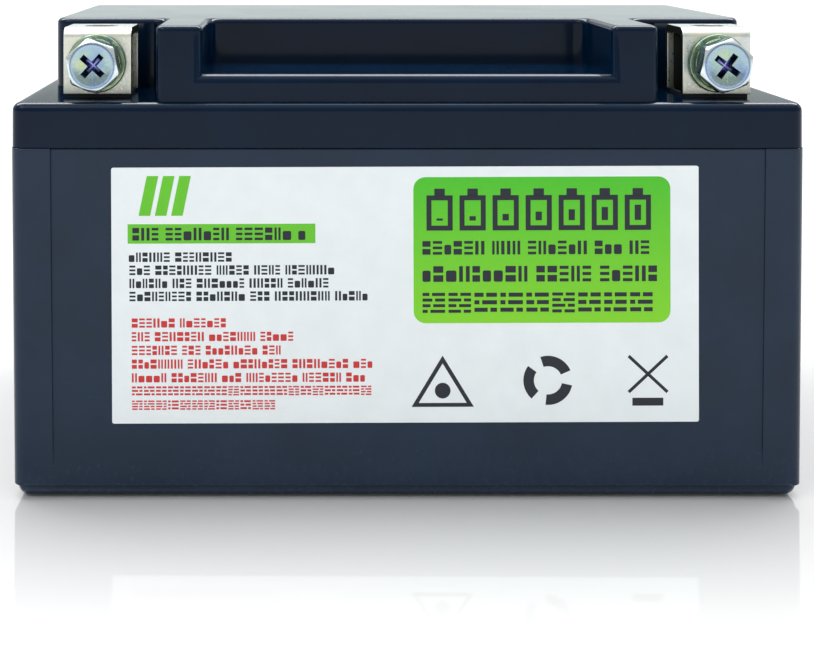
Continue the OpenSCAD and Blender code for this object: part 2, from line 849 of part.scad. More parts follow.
module balance_plug() {
    inset = header_wall + plug_gap;
    color([0.94, 0.94, 0.90])
        box(plug_x, header_x + header[0] - header_back - plug_gap,
            wire_y(2) - header[1] / 2 + inset, wire_y(2) + header[1] / 2 - inset,
            board_top + inset, board_top + header[2] - inset);
}

// ---------- wiring ----------

function wire_y(k) = pitch_y / 2 + (k - 2) * wire_pitch;

module balance_wires() {
    color([0.15, 0.15, 0.16]) for (k = [0 : 4]) cable([
        [plug_x, wire_y(k), plug_z],
        [wire_turn_x, wire_y(k), plug_z],
        [wire_turn_x, wire_y(k), wire_run_z],
        [tap_x[k], wire_y(k), wire_run_z],
        [tap_x[k], wire_y(k), tap_z[k]]
    ], wire_r, wire_bend);
}

module positive_lead() {
    x = LEFT * lead_x;
    color([0.75, 0.08, 0.07]) cable([
        [x, term_y1, lead_z], [x, positive_ear_y, lead_z], [x, positive_ear_y, top_link_z]
    ], lead_r, lead_bend);
}

module negative_lead() {
    x = RIGHT * lead_x;
    color([0.07, 0.07, 0.08]) cable([
        [x, term_y1, lead_z], [x, negative_rise_y, lead_z], [x, negative_rise_y, board_z]
    ], lead_r, lead_bend);
}

module pack_negative_lead() {
    color([0.07, 0.07, 0.08]) cable([
        [pack_negative_at[0], pack_negative_at[1], top_link_z + link_t],
        [pack_negative_at[0], pack_negative_at[1], board_z]
    ], lead_r, 0);
}

// Cone of solder around the end of a lead, standing on a surface
module solder_fillet(at, way) {
    translate(at) point_along(way) difference() {
        cylinder(r1 = fillet_r, r2 = lead_r + 0.2, h = fillet_h);
        translate([0, 0, -cut]) cylinder(r = lead_r, h = fillet_h + 2 * cut);
    }
}

module solder_joints() {
    up = [0, 0, 1];
    color([0.72, 0.73, 0.75]) {
        for (s = [LEFT, RIGHT]) solder_fillet([s * lead_x, term_y1, lead_z], [0, 1, 0]);
        solder_fillet([LEFT * lead_x, positive_ear_y, top_link_z], -up);
        solder_fillet([RIGHT * lead_x, negative_rise_y, board_z], -up);
        solder_fillet([pack_negative_at[0], pack_negative_at[1], board_z], -up);
        solder_fillet([pack_negative_at[0], pack_negative_at[1], top_link_z + link_t], up);
    }
}

module temperature_sensor() {
    color([0.10, 0.10, 0.11]) {
        cable([
            [sensor_at[0], sensor_at[1], sensor_z],
            [sensor_at[0], sensor_at[1], wire_run_z],
            [sensor_at[0], sensor_rise_y, wire_run_z],
            [sensor_at[0], sensor_rise_y, board_z]
        ], wire_r, wire_bend);
        translate([sensor_at[0], sensor_at[1], sensor_z]) cylinder(r = sensor_r, h = sensor_l);
    }
}

// ---------- nodes ----------

case();
lid();
lid_seal();
front_label();
terminal(LEFT);  // positive_terminal
nut_block(LEFT);  // positive_nut_block
terminal_seal(LEFT);  // positive_terminal_seal
bolt(LEFT, left_head_turn, left_cross_turn);  // positive_bolt
spring_washer(LEFT);  // positive_spring_washer
flat_washer(LEFT);  // positive_flat_washer
terminal(RIGHT);  // negative_terminal
nut_block(RIGHT);  // negative_nut_block
terminal_seal(RIGHT);  // negative_terminal_seal
bolt(RIGHT, right_head_turn, right_cross_turn);  // negative_bolt
spring_washer(RIGHT);  // negative_spring_washer
flat_washer(RIGHT);  // negative_flat_washer
bottom_pad();
bottom_insulation_sheet();
bottom_series_links();
lower_cell_holder();
upper_cell_holder();
cell_cans();
cell_electrode_rolls();
cell_caps();
cell_gaskets();
cell_sleeves();
pack_tape();
side_foam(LEFT);  // positive_side_foam
side_foam(RIGHT);  // negative_side_foam
positive_busbar();
negative_busbar();
top_series_link();
top_insulation_sheet();
bms_board();
bms_standoffs();
bms_screws();
bms_transistors();
bms_thermal_pad();
bms_heat_spreader();
bms_foam_pad();
bms_shunts();
bms_chips();
bms_capacitors();
balance_header();
balance_plug();
balance_wires();
positive_lead();
negative_lead();
pack_negative_lead();
solder_joints();
temperature_sensor();
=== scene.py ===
"""Looks of a motorcycle battery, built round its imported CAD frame.

Meshes are made in millimetres, in the frame's own coordinates: +Z up, the label faces -Y.
They become metres when piece() turns them into objects.
"""

import json
import random
from itertools import product
from math import atan, cos, degrees, pi, radians, sin, tan

import bmesh
import bpy
from mathutils import Matrix, Vector, noise


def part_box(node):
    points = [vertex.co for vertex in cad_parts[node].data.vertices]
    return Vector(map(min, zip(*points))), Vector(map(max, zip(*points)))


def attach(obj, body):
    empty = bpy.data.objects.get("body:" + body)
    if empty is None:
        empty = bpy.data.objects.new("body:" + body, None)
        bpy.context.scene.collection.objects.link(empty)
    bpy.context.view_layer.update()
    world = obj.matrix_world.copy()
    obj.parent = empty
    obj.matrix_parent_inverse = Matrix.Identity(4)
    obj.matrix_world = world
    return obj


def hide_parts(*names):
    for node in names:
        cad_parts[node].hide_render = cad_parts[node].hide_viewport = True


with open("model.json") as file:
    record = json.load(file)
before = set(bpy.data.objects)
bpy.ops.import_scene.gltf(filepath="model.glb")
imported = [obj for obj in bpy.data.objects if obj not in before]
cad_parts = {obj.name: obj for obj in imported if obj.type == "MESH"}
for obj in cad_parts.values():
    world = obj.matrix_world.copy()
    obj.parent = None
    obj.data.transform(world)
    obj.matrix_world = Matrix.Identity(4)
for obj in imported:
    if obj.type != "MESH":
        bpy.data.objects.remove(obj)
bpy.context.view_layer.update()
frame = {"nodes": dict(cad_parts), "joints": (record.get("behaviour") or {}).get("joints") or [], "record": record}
random.seed(9)

MM = 0.001
LEFT, RIGHT = "positive", "negative"
SIDES = (LEFT, RIGHT)


def box_mm(node):
    """Lowest and highest corner of a CAD node, in millimetres."""
    low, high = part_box(node)
    return low / MM, high / MM


# ---------- sizes, from the frame and from the way the case is moulded ----------

case_low, case_high = box_mm("case")
lid_low, lid_high = box_mm("lid")
seal_low, seal_high = box_mm("positive_terminal_seal")
label_low, label_high = box_mm("front_label")

HALF_L, HALF_W, SEAM = case_high
LID_HALF_L, LID_HALF_W, TOP = lid_high
FRONT = case_low.y
LEDGE = seal_low.z
TERMINAL_BASE = seal_high.z

WALL = 2.5
FLOOR = 3.0
CORNER_R = 2.5
FOOT_H = 2.5
FOOT_INSET = 0.6
FOOT_R = 2.2
WALL_FOOT_R = 0.5
PANEL_DEPTH = HALF_W + label_high.y
PANEL_X = HALF_L - 7.8
PANEL_Y = HALF_W - 7.8
PANEL_Z = 5.3
PANEL_R = 0.22
PANEL_RAMP = 5.0
SEAM_R = 0.3
DRAFT = 0.5

TONGUE_H = SEAM - lid_low.z
RABBET_H = TONGUE_H + 0.3
RABBET_W = 1.2
TONGUE_W = 1.1

BLOCK_X = 71.8
BLOCK_Y0 = FRONT + 26.0
BLOCK_Y1 = FRONT + 82.5
BLOCK_FRONT_R = 3.2
BLOCK_BACK_R = 2.0
PILLAR_IN = 39.3
PILLAR_OUT = 48.4
PILLAR_Y = FRONT + 2.0
PILLAR_R = 1.7
CROOK_R = 2.8
BAND = 80.8
TOP_R = 1.1
LEDGE_R = 1.7

PLATE = 1.6
BEND_R = 2.0
PLATE_HOLE_R = 3.25
TAIL_W = 8.0
SLOT_GAP = 0.3
NUT_BORE_R = 3.0
THREAD_PITCH = 1.0
THREAD_DEPTH = 0.5
NUT_THREAD_DEPTH = 0.35

BOLT_L = 12.0
SHANK_R = 2.95
HEX_AF = 9.5
HEAD_H = 4.0
HEAD_FACE_R = 4.55
HEAD_TURN = {LEFT: 41.0, RIGHT: 19.0}
CROSS_TURN = {LEFT: 48.0, RIGHT: 53.0}
CROSS_SPAN = 5.4
CROSS_W = 1.15
CROSS_DEPTH = 2.2
FLAT_T = 1.5
FLAT_R = 5.75
SPRING_T = 1.5
SPRING_R = 5.0
WASHER_HOLE_R = 3.2


# ---------- materials ----------

WHITE = (1.0, 1.0, 1.0)


class Tree:
    """Short names for building the node tree of a material or of the world."""

    def __init__(self, owner, shader="Principled BSDF", coords="Object"):
        owner.use_nodes = True
        self.owner = owner
        self.nodes = owner.node_tree.nodes
        self.links = owner.node_tree.links
        self.shader = self.nodes[shader]
        self.coords = self.node("TexCoord", coords)

    def plug(self, socket, value):
        if isinstance(value, bpy.types.NodeSocket):
            self.links.new(value, socket)
        elif isinstance(value, (tuple, list)) and len(value) == 3 and socket.type == "RGBA":
            socket.default_value = (*value, 1.0)
        else:
            socket.default_value = value

    def node(self, kind, output, settings=None, **inputs):
        """One output of a new node. Inputs go by name, or by number as in i0."""
        made = self.nodes.new("ShaderNode" + kind)
        for key, value in (settings or {}).items():
            setattr(made, key, value)
        for key, value in inputs.items():
            name = key.replace("_", " ")
            socket = made.inputs[int(name[1:])] if name[1:].isdigit() else made.inputs[name]
            self.plug(socket, value)
        return made.outputs[output]

    def stretched(self, scale):
        return self.node("Mapping", "Vector", Vector=self.coords, Scale=scale)

    def noise(self, size_mm, vector=None, detail=3.0):
        return self.node(
            "TexNoise", "Fac", Vector=vector or self.coords,
            Scale=1.0 / (size_mm * MM), Detail=detail, Roughness=0.55,
        )

    def cells(self, size_mm, measure="EUCLIDEAN"):
        return self.node(
            "TexVoronoi", "Distance", {"distance": measure},
            Vector=self.coords, Scale=1.0 / (size_mm * MM),
        )

    def bands(self, direction, vector, scale):
        settings = {"wave_type": "BANDS", "bands_direction": direction}
        return self.node("TexWave", "Fac", settings, Vector=vector, Scale=scale)

    def remap(self, value, low, high, start=0.0, end=1.0):
        return self.node(
            "MapRange", "Result", Value=value, From_Min=start, From_Max=end,
            To_Min=low, To_Max=high,
        )

    def rise(self, value, start, end):
        return self.remap(value, 0.0, 1.0, start, end)

    def fall(self, value, start, end):
        return self.remap(value, 1.0, 0.0, start, end)

    def blend(self, share, first, second):
        return self.node("Mix", 2, {"data_type": "RGBA"}, i0=share, i6=first, i7=second)

    def math(self, operation, first, second=0.0):
        return self.node("Math", "Value", {"operation": operation}, i0=first, i1=second)

    def vector(self, operation, first, second=(0.0, 0.0, 0.0), output="Vector"):
        return self.node("VectorMath", output, {"operation": operation}, i0=first, i1=second)

    def axis(self, name):
        return self.node("SeparateXYZ", name, Vector=self.coords)

    def from_line(self, first_axis, first, second_axis, second):
        """Distance from a line along the third axis, which is given in millimetres."""
        a = self.math("SUBTRACT", self.axis(first_axis), first * MM)
        b = self.math("SUBTRACT", self.axis(second_axis), second * MM)
        squares = self.math("ADD", self.math("MULTIPLY", a, a), self.math("MULTIPLY", b, b))
        return self.math("SQRT", squares)

    def facing(self, name):
        normal = self.node("TexCoord", "Normal")
        return self.math("ABSOLUTE", self.node("SeparateXYZ", name, Vector=normal))

    def bump(self, height, depth_mm, normal=None):
        inputs = {"Height": height, "Distance": depth_mm * MM}
        if normal:
            inputs["Normal"] = normal
        return self.node("Bump", "Normal", **inputs)

    def finish(self, **inputs):
        """Sets the shader's inputs, and gives back the material."""
        for key, value in inputs.items():
            self.plug(self.shader.inputs[key.replace("_", " ")], value)
        return self.owner


def new_tree(slot):
    return Tree(bpy.data.materials.new(slot))


def shade(colour, factor):
    return tuple(min(1.0, c * factor) for c in colour)


def plain_finish(
    slot, colour, rough, metal=0.0, grain=0.4, depth=0.01, tint=0.15, stretch=(1.0, 1.0, 1.0), coat=0.0
):
    """Moulded, cast and rolled surfaces: a fine relief, and slow changes of tone and gloss."""
    tree = new_tree(slot)
    vector = tree.stretched(stretch)
    slow = tree.rise(tree.noise(9.0, vector), 0.3, 0.7)
    return tree.finish(
        Base_Color=tree.blend(slow, shade(colour, 1 - tint), shade(colour, 1 + tint)),
        Roughness=tree.remap(slow, rough - 0.08, rough + 0.08),
        Metallic=metal,
        Coat_Weight=coat,
        Normal=tree.bump(tree.noise(grain, vector, detail=4.0), depth),
    )


def body_plastic(slot, colour, rough, pebble, ior):
    """Glossy navy-black moulding: orange-peel relief, faint haze, and scuffs low on the walls."""
    tree = new_tree(slot)
    haze = tree.rise(tree.noise(14.0, detail=4.0), 0.35, 0.7)
    peel = tree.noise(1.1, detail=2.0)
    fine = tree.noise(0.22, detail=2.0)
    scratches = tree.noise(0.7, tree.stretched((0.05, 0.05, 1.0)), detail=5.0)
    marks = tree.rise(scratches, 0.66, 0.78)
    low = tree.fall(tree.axis("Z"), 0.0, 0.012)
    scuffed = tree.math("MULTIPLY", tree.rise(tree.noise(1.6, detail=6.0), 0.52, 0.66), low)
    tone = tree.blend(haze, shade(colour, 0.86), shade(colour, 1.16))
    worn = tree.blend(tree.math("MULTIPLY", scuffed, 0.25), tone, shade(colour, 2.0))
    gloss = tree.remap(haze, 0.9 * rough, 1.12 * rough)
    gloss = tree.math("ADD", gloss, tree.math("MULTIPLY", marks, 0.05))
    gloss = tree.math("ADD", gloss, tree.math("MULTIPLY", scuffed, 0.15))
    relief = tree.bump(peel, pebble)
    return tree.finish(
        Base_Color=worn, Roughness=gloss, IOR=ior, Normal=tree.bump(fine, 0.35 * pebble, relief)
    )


def plated_metal(slot, tones, rough, swirl=6.0, edge=1.0, head=None, foot=None, hole=None):
    """Plating whose passivation drifts between several pale tones, with fine marks in it.

    head is (axis x, axis z, face y) of a bolt's head, in millimetres. edge is how much a grazing
    view reflects. foot is the height from which painted shade darkens the plating downwards. hole
    is (x, y, top z) of the hole in a folded plate, whose wall gets painted shade, as do the sheared edges, which
    face along X.
    """
    tree = new_tree(slot)
    facing = tree.node("LayerWeight", "Facing", Blend=0.4)
    drift = tree.math("ADD", tree.noise(swirl, detail=2.0), tree.math("MULTIPLY", facing, 0.35))
    first = tree.blend(tree.rise(drift, 0.36, 0.52), tones[0], tones[1])
    colour = tree.blend(tree.rise(drift, 0.56, 0.74), first, tones[2])
    marks = tree.noise(0.5, detail=4.0)
    edge_tint = (edge, edge, edge)
    if head:
        colour = bolt_head_tones(tree, colour, *head)
    if foot:
        # Painted shade: the plating is darkened towards the bottom, over the 7 mm below foot.
        painted_low_shade = tree.remap(tree.axis("Z"), 0.38, 0.0, (foot - 7.0) * MM, foot * MM)
        colour = tree.blend(painted_low_shade, colour, (0.30, 0.36, 0.30))
    if hole:
        # Painted shade: the hole's wall and the sheared edges, which face along X, are darkened and reflect
        # little.
        painted_edge_shade = tree.remap(tree.facing("X"), 0.0, 0.95, 0.75, 0.95)
        in_hole = tree.fall(tree.from_line("X", hole[0], "Y", hole[1]), 3.2 * MM, 3.35 * MM)
        under = tree.fall(tree.axis("Z"), (hole[2] - 0.6) * MM, (hole[2] - 0.1) * MM)
        painted_edge_shade = tree.math("MAXIMUM", painted_edge_shade, tree.math("MULTIPLY", in_hole, under))
        colour = tree.blend(painted_edge_shade, colour, (0.04, 0.055, 0.045))
        edge_tint = tree.blend(painted_edge_shade, edge_tint, (0.10, 0.13, 0.11))
    return tree.finish(
        Base_Color=colour, Metallic=0.92, Specular_Tint=edge_tint,
        Roughness=tree.remap(marks, rough - 0.08, rough + 0.12, 0.3, 0.7),
        Normal=tree.bump(marks, 0.003),
    )


def bolt_head_tones(tree, colour, axis_x, axis_z, face_y):
    """Adds a bluish outer face, a dark line near its edge, a painted highlight at that edge, painted shade
    on the hexagon's sides, and painted shade in the drive recess with painted light in its middle.
    """
    from_axis = tree.from_line("X", axis_x, "Z", axis_z)
    outer = tree.remap(from_axis, 0.0, 0.6, 2.7 * MM, 4.0 * MM)
    # Painted highlight: a pale ring at the outer edge of the head's face.
    painted_rim_highlight = tree.remap(from_axis, 0.0, 0.8, (HEAD_FACE_R - 0.25) * MM, HEAD_FACE_R * MM)
    line = tree.math("SUBTRACT", from_axis, (HEAD_FACE_R - 0.35) * MM)
    line = tree.remap(tree.math("ABSOLUTE", line), 0.7, 0.0, 0.0, 0.2 * MM)
    # Painted shade on the hexagon's side faces, those not facing along Y.
    side = tree.fall(tree.facing("Y"), 0.15, 0.4)
    for share, tone in (
        (outer, (0.34, 0.45, 0.66)), (painted_rim_highlight, (0.80, 0.87, 0.86)),
        (line, (0.07, 0.13, 0.26)), (side, (0.16, 0.26, 0.30)),
    ):
        colour = tree.blend(share, colour, tone)
    # Painted shade: the drive recess is dark blue, with painted light in its middle.
    centre = tree.fall(from_axis, 0.4 * MM, 1.7 * MM)
    recess = tree.blend(centre, (0.03, 0.06, 0.15), (0.30, 0.30, 0.62))
    near_axis = tree.fall(from_axis, 2.75 * MM, 2.95 * MM)
    behind = tree.rise(tree.axis("Y"), (face_y + 0.2) * MM, (face_y + 0.7) * MM)
    return tree.blend(tree.math("MULTIPLY", near_axis, behind), colour, recess)


def film(slot, colour, rough):
    """Printed film: a faint paper tooth, slow waves from the adhesive under it."""
    tree = new_tree(slot)
    waves = tree.noise(11.0, detail=2.0)
    tooth = tree.noise(0.25, detail=4.0)
    tone = tree.rise(tree.noise(6.0), 0.3, 0.7)
    return tree.finish(
        Base_Color=tree.blend(tone, shade(colour, 0.97), shade(colour, 1.02)),
        Roughness=tree.remap(tooth, rough - 0.05, rough + 0.07),
        Normal=tree.bump(tooth, 0.002, tree.bump(waves, 0.03)),
    )


def green_print(slot, low_z, high_z):
    """Green ground of the title panel: lime at the foot, deeper towards the top."""
    tree = new_tree(slot)
    height = tree.rise(tree.axis("Z"), low_z * MM, high_z * MM)
    deep, lime = (0.030, 0.48, 0.006), (0.21, 0.64, 0.006)
    speck = tree.noise(0.3, detail=4.0)
    return tree.finish(
        Base_Color=tree.blend(tree.remap(speck, 0.0, 0.25), tree.blend(height, lime, deep), shade(lime, 1.1)),
        Roughness=tree.remap(speck, 0.34, 0.46),
        Normal=tree.bump(speck, 0.002),
    )


def woven(slot, colour, rough):
    """Threads crossing at right angles, for the glass-fibre tape."""
    tree = new_tree(slot)
    pitch = 0.8 * MM
    across = tree.bands("Z", tree.coords, 0.3 / pitch)
    along = tree.bands("DIAGONAL", tree.stretched((1.0, 1.0, 0.0)), 0.2 / pitch)
    threads = tree.math("MAXIMUM", across, along)
    return tree.finish(
        Base_Color=tree.blend(threads, shade(colour, 0.6), colour),
        Roughness=tree.remap(tree.noise(3.0), rough - 0.1, rough + 0.1),
        Normal=tree.bump(threads, 0.05),
    )


def circuit_board(slot, colour):
    """Solder mask over copper: paler tracks show through the green."""
    tree = new_tree(slot)
    tracks = tree.rise(tree.cells(5.0, "CHEBYCHEV"), 0.36, 0.38)
    return tree.finish(
        Base_Color=tree.blend(tracks, colour, shade(colour, 2.0)),
        Roughness=tree.remap(tree.noise(2.0), 0.28, 0.42),
        Normal=tree.bump(tracks, 0.035),
    )


def foam_cells(slot, colour):
    """Closed-cell foam: cut bubbles over a matt ground, with painted shade in the bubbles' pits."""
    tree = new_tree(slot)
    pits = tree.math("MINIMUM", tree.cells(0.9), tree.math("ADD", tree.cells(0.35), 0.15))
    # Painted shade: the pits of the cut bubbles are darkened, the raised ground lightened.
    ground_vs_shaded_pits = tree.rise(pits, 0.1, 0.6)
    return tree.finish(
        Base_Color=tree.blend(ground_vs_shaded_pits, shade(colour, 0.4), shade(colour, 1.5)),
        Roughness=0.93,
        Normal=tree.bump(pits, 0.2),
    )


def wound_foil(slot, colour):
    """Edge of a tightly wound roll: fine rings round each cell, seen as narrow bright and dark lines."""
    tree = new_tree(slot)
    lines = tree.noise(0.25, tree.stretched((1.0, 1.0, 0.04)), detail=5.0)
    bright = tree.rise(lines, 0.35, 0.65)
    return tree.finish(
        Base_Color=tree.blend(bright, shade(colour, 0.5), shade(colour, 2.4)),
        Metallic=0.7,
        Roughness=tree.remap(lines, 0.35, 0.6),
        Normal=tree.bump(lines, 0.03),
    )


PLATE_TONES = ((0.76, 0.77, 0.68), (0.82, 0.82, 0.72), (0.68, 0.74, 0.73))
BOLT_TONES = ((0.26, 0.38, 0.52), (0.36, 0.50, 0.42), (0.48, 0.56, 0.34))
# Nearly black nut tones, and little grazing reflection below: painted shade for the nut block inside the folded
# plate.
SHADED_NUT_TONES = ((0.025, 0.035, 0.027), (0.06, 0.075, 0.058), (0.04, 0.055, 0.045))
WASHER_TONES = ((0.15, 0.26, 0.16), (0.34, 0.43, 0.27), (0.13, 0.25, 0.26))

# Slot: the function that makes its material, and that function's settings
FINISHES = {
    "case_plastic": (body_plastic, (0.006, 0.019, 0.043), 0.24, 0.010, 1.35),
    "lid_plastic": (body_plastic, (0.0005, 0.0078, 0.0235), 0.11, 0.003, 1.25),
    "nut_metal": (plated_metal, SHADED_NUT_TONES, 0.42, 6.0, 0.12),
    "zinc_washer": (plated_metal, WASHER_TONES, 0.28, 4.0, 0.5),
    "foam": (foam_cells, (0.035, 0.035, 0.038)),
    "tape": (woven, (0.62, 0.55, 0.33), 0.55),
    "circuit_board": (circuit_board, (0.010, 0.105, 0.040)),
    "electrode_foil": (wound_foil, (0.10, 0.10, 0.11)),
    "label_film": (film, (0.81, 0.865, 0.885), 0.38),
    "navy_ink": (film, (0.002, 0.005, 0.016), 0.42),
    "red_ink": (film, (0.58, 0.020, 0.020), 0.42),
    "green_ink": (film, (0.12, 0.54, 0.01), 0.42),
}
materials = {slot: make(slot, *settings) for slot, (make, *settings) in FINISHES.items()}

# Slot: colour, roughness and whatever differs from plain_finish's own settings
PLAIN_FINISHES = {
    "adhesive": ((0.018, 0.018, 0.022), 0.45, {"grain": 0.8, "depth": 0.05}),
    "seal_rubber": ((0.016, 0.016, 0.018), 0.7, {"grain": 0.25, "depth": 0.02}),
    "insulation_sheet": ((0.52, 0.44, 0.25), 0.75, {"grain": 0.3, "depth": 0.02, "stretch": (1.0, 0.3, 1.0)}),
    "nickel": (
        (0.62, 0.60, 0.55), 0.32, {"metal": 1.0, "grain": 0.3, "depth": 0.006, "stretch": (1.0, 0.05, 1.0)}
    ),
    "holder_plastic": ((0.022, 0.022, 0.026), 0.5, {"depth": 0.02}),
    "can_steel": (
        (0.56, 0.57, 0.58), 0.28, {"metal": 1.0, "grain": 0.3, "depth": 0.004, "stretch": (1.0, 1.0, 0.1)}
    ),
    "gasket_plastic": ((0.72, 0.72, 0.69), 0.5, {}),
    "sleeve_film": ((0.015, 0.11, 0.34), 0.22, {"grain": 3.0, "depth": 0.05, "tint": 0.1, "coat": 0.3}),
    "nylon": ((0.70, 0.70, 0.63), 0.48, {}),
    "small_steel": ((0.58, 0.59, 0.60), 0.3, {"metal": 1.0, "grain": 0.2}),
    "component_black": ((0.018, 0.018, 0.02), 0.55, {"grain": 0.12}),
    "thermal_silicone": ((0.26, 0.32, 0.40), 0.65, {"grain": 0.3, "depth": 0.02}),
    "spreader_aluminium": (
        (0.66, 0.67, 0.68), 0.34, {"metal": 1.0, "grain": 0.25, "stretch": (0.05, 1.0, 1.0)}
    ),
    "capacitor_can": ((0.44, 0.44, 0.46), 0.32, {"metal": 1.0, "grain": 0.3}),
    "red_silicone": ((0.36, 0.012, 0.012), 0.42, {"grain": 0.5}),
    "black_silicone": ((0.014, 0.014, 0.015), 0.42, {"grain": 0.5}),
    "solder": ((0.58, 0.59, 0.60), 0.3, {"metal": 1.0, "grain": 0.9, "depth": 0.05}),
}
for slot, (colour, rough, settings) in PLAIN_FINISHES.items():
    materials[slot] = plain_finish(slot, colour, rough, **settings)


# ---------- from mesh to piece ----------

SHARP_DEGREES = 35.0


def new_object(name, bm):
    """An object of the scene that takes over a mesh."""
    mesh = bpy.data.meshes.new(name)
    bm.to_mesh(mesh)
    bm.free()
    obj = bpy.data.objects.new(name, mesh)
    bpy.context.scene.collection.objects.link(obj)
    return obj


def discard(obj):
    mesh = obj.data
    bpy.data.objects.remove(obj)
    bpy.data.meshes.remove(mesh)


def piece(name, bm, slot, body, replaced=None, finish=None):
    """Turns a mesh in millimetres into an object that rides on a CAD body."""
    obj = new_object(name, bm)
    obj.data.transform(Matrix.Scale(MM, 4))
    obj.data.shade_smooth()
    obj.data.set_sharp_from_angle(angle=radians(SHARP_DEGREES))
    obj.data.materials.append(finish or materials[slot])
    weighted = obj.modifiers.new("even_shading", "WEIGHTED_NORMAL")
    weighted.keep_sharp = True
    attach(obj, body)
    if replaced:
        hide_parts(replaced)


def with_modifiers(bm, modifiers):
    """The mesh after the modifiers, given as (type, settings), have been applied to it."""
    obj = new_object("scratch", bm)
    for kind, settings in modifiers:
        added = obj.modifiers.new(kind, kind)
        for key, value in settings.items():
            setattr(added, key, value)
    bpy.context.view_layer.update()
    result = bmesh.new()
    result.from_object(obj, bpy.context.evaluated_depsgraph_get())
    discard(obj)
    return result


def block_shape(xs, ys, zs, solid, keep=lambda edge: False):
    """Closed mesh of the cells of a grid for which solid(x, y, z) is true at their middle.

    Flat faces are joined across all edges but those for which keep(edge) is true.
    """
    lines = (sorted(set(xs)), sorted(set(ys)), sorted(set(zs)))
    bm = bmesh.new()
    corners = {}

    def corner(key):
        if key not in corners:
            corners[key] = bm.verts.new([lines[a][key[a]] for a in range(3)])
        return corners[key]

    def filled(cell):
        if any(not 0 <= cell[a] < len(lines[a]) - 1 for a in range(3)):
            return False
        return solid(*[(lines[a][cell[a]] + lines[a][cell[a] + 1]) / 2 for a in range(3)])

    def wall(cell, axis, side):
        across, up = (axis + 1) % 3, (axis + 2) % 3
        loop = []
        for step_across, step_up in ((0, 0), (1, 0), (1, 1), (0, 1)):
            key = list(cell)
            key[axis] += side
            key[across] += step_across
            key[up] += step_up
            loop.append(corner(tuple(key)))
        bm.faces.new(loop if side else loop[::-1])

    for cell in product(*[range(len(line) - 1) for line in lines]):
        if not filled(cell):
            continue
        for axis, side in product(range(3), (0, 1)):
            beside = list(cell)
            beside[axis] += 2 * side - 1
            if not filled(beside):
                wall(cell, axis, side)
    bm.normal_update()
    joined = [e for e in bm.edges if not keep(e)]
    bmesh.ops.dissolve_limit(bm, angle_limit=0.01, verts=bm.verts[:], edges=joined)
    return bm


def always(*_):
    return True


def both_signs(*values):
    return [s * v for v in values for s in (-1, 1)]


def near(a, b):
    return abs(a - b) < 0.05


def middle(edge):
    return (edge.verts[0].co + edge.verts[1].co) / 2


def is_upright(edge):
    run = edge.verts[0].co - edge.verts[1].co
    return abs(run.z) > 0.9 * run.length


def at_corner(edge, x, y):
    m = middle(edge)
    return is_upright(edge) and near(abs(m.x), x) and near(abs(m.y), y)


def is_level(edge, z):
    return all(near(v.co.z, z) for v in edge.verts)


def on_middle_line(edge):
    """True on the line y = 0, where the flat rings round the case and the lid stay divided."""
    return all(near(v.co.y, 0.0) for v in edge.verts)


def round_edges(bm, wanted, radius, segments):
    """Rounds the sharp edges for which wanted(edge) is true."""
    sharp = radians(30)
    edges = [e for e in bm.edges if len(e.link_faces) == 2 and e.calc_face_angle(0) > sharp]
    bmesh.ops.bevel(
        bm, geom=[e for e in edges if wanted(e)], offset=radius, offset_type="OFFSET",
        segments=segments, profile=0.5, affect="EDGES", clamp_overlap=False,
    )


def loft(rings, closed_loop=False):
    """Skin over rings of equally many points.

    It runs on from the last ring to the first, or else its ends meet in the middle of the first
    and of the last ring.
    """
    bm = bmesh.new()
    rows = [[bm.verts.new(p) for p in ring] for ring in rings]
    for low, high in zip(rows, rows[1:] + rows[:1] * closed_loop):
        for k in range(len(low)):
            bm.faces.new((low[k - 1], low[k], high[k], high[k - 1]))
    if not closed_loop:
        for row in (rows[0][::-1], rows[-1]):
            tip = bm.verts.new(sum((v.co for v in row), Vector()) / len(row))
            for k in range(len(row)):
                bm.faces.new((row[k - 1], row[k], tip))
    return bm


def place(bm, matrix):
    bmesh.ops.transform(bm, matrix=matrix, verts=bm.verts[:])
    return bm


def arc(centre, radius, start, end, steps):
    """Points of an arc from start to end degrees."""
    turns = [radians(start + (end - start) * k / steps) for k in range(steps + 1)]
    return [(centre[0] + radius * cos(t), centre[1] + radius * sin(t)) for t in turns]


def rounded_rectangle(a0, b0, a1, b1, radius, steps):
    """Points round a rectangle from (a0, b0) to (a1, b1), each corner an arc of so many steps."""
    outline = []
    for k, (a, b) in enumerate((
        (a1 - radius, b0 + radius), (a1 - radius, b1 - radius),
        (a0 + radius, b1 - radius), (a0 + radius, b0 + radius),
    )):
        outline += arc((a, b), radius, 90 * k - 90, 90 * k, steps)
    return outline


def around(radius, turn, z):
    """Point at a radius and a turn about Z, in radians."""
    return (radius * cos(turn), radius * sin(turn), z)


# ---------- case and lid ----------


def case_solid(x, y, z):
    x, y = abs(x), abs(y)
    if z < FOOT_H and (x > HALF_L - FOOT_INSET or y > HALF_W - FOOT_INSET):
        return False
    if z > PANEL_Z and y > HALF_W - PANEL_DEPTH and x < PANEL_X:
        return False
    if z > PANEL_Z and x > HALF_L - PANEL_DEPTH and y < PANEL_Y:
        return False
    widened = RABBET_W if z > SEAM - RABBET_H else 0.0
    inside = x < HALF_L - WALL + widened and y < HALF_W - WALL + widened
    return not (z > FLOOR and inside)


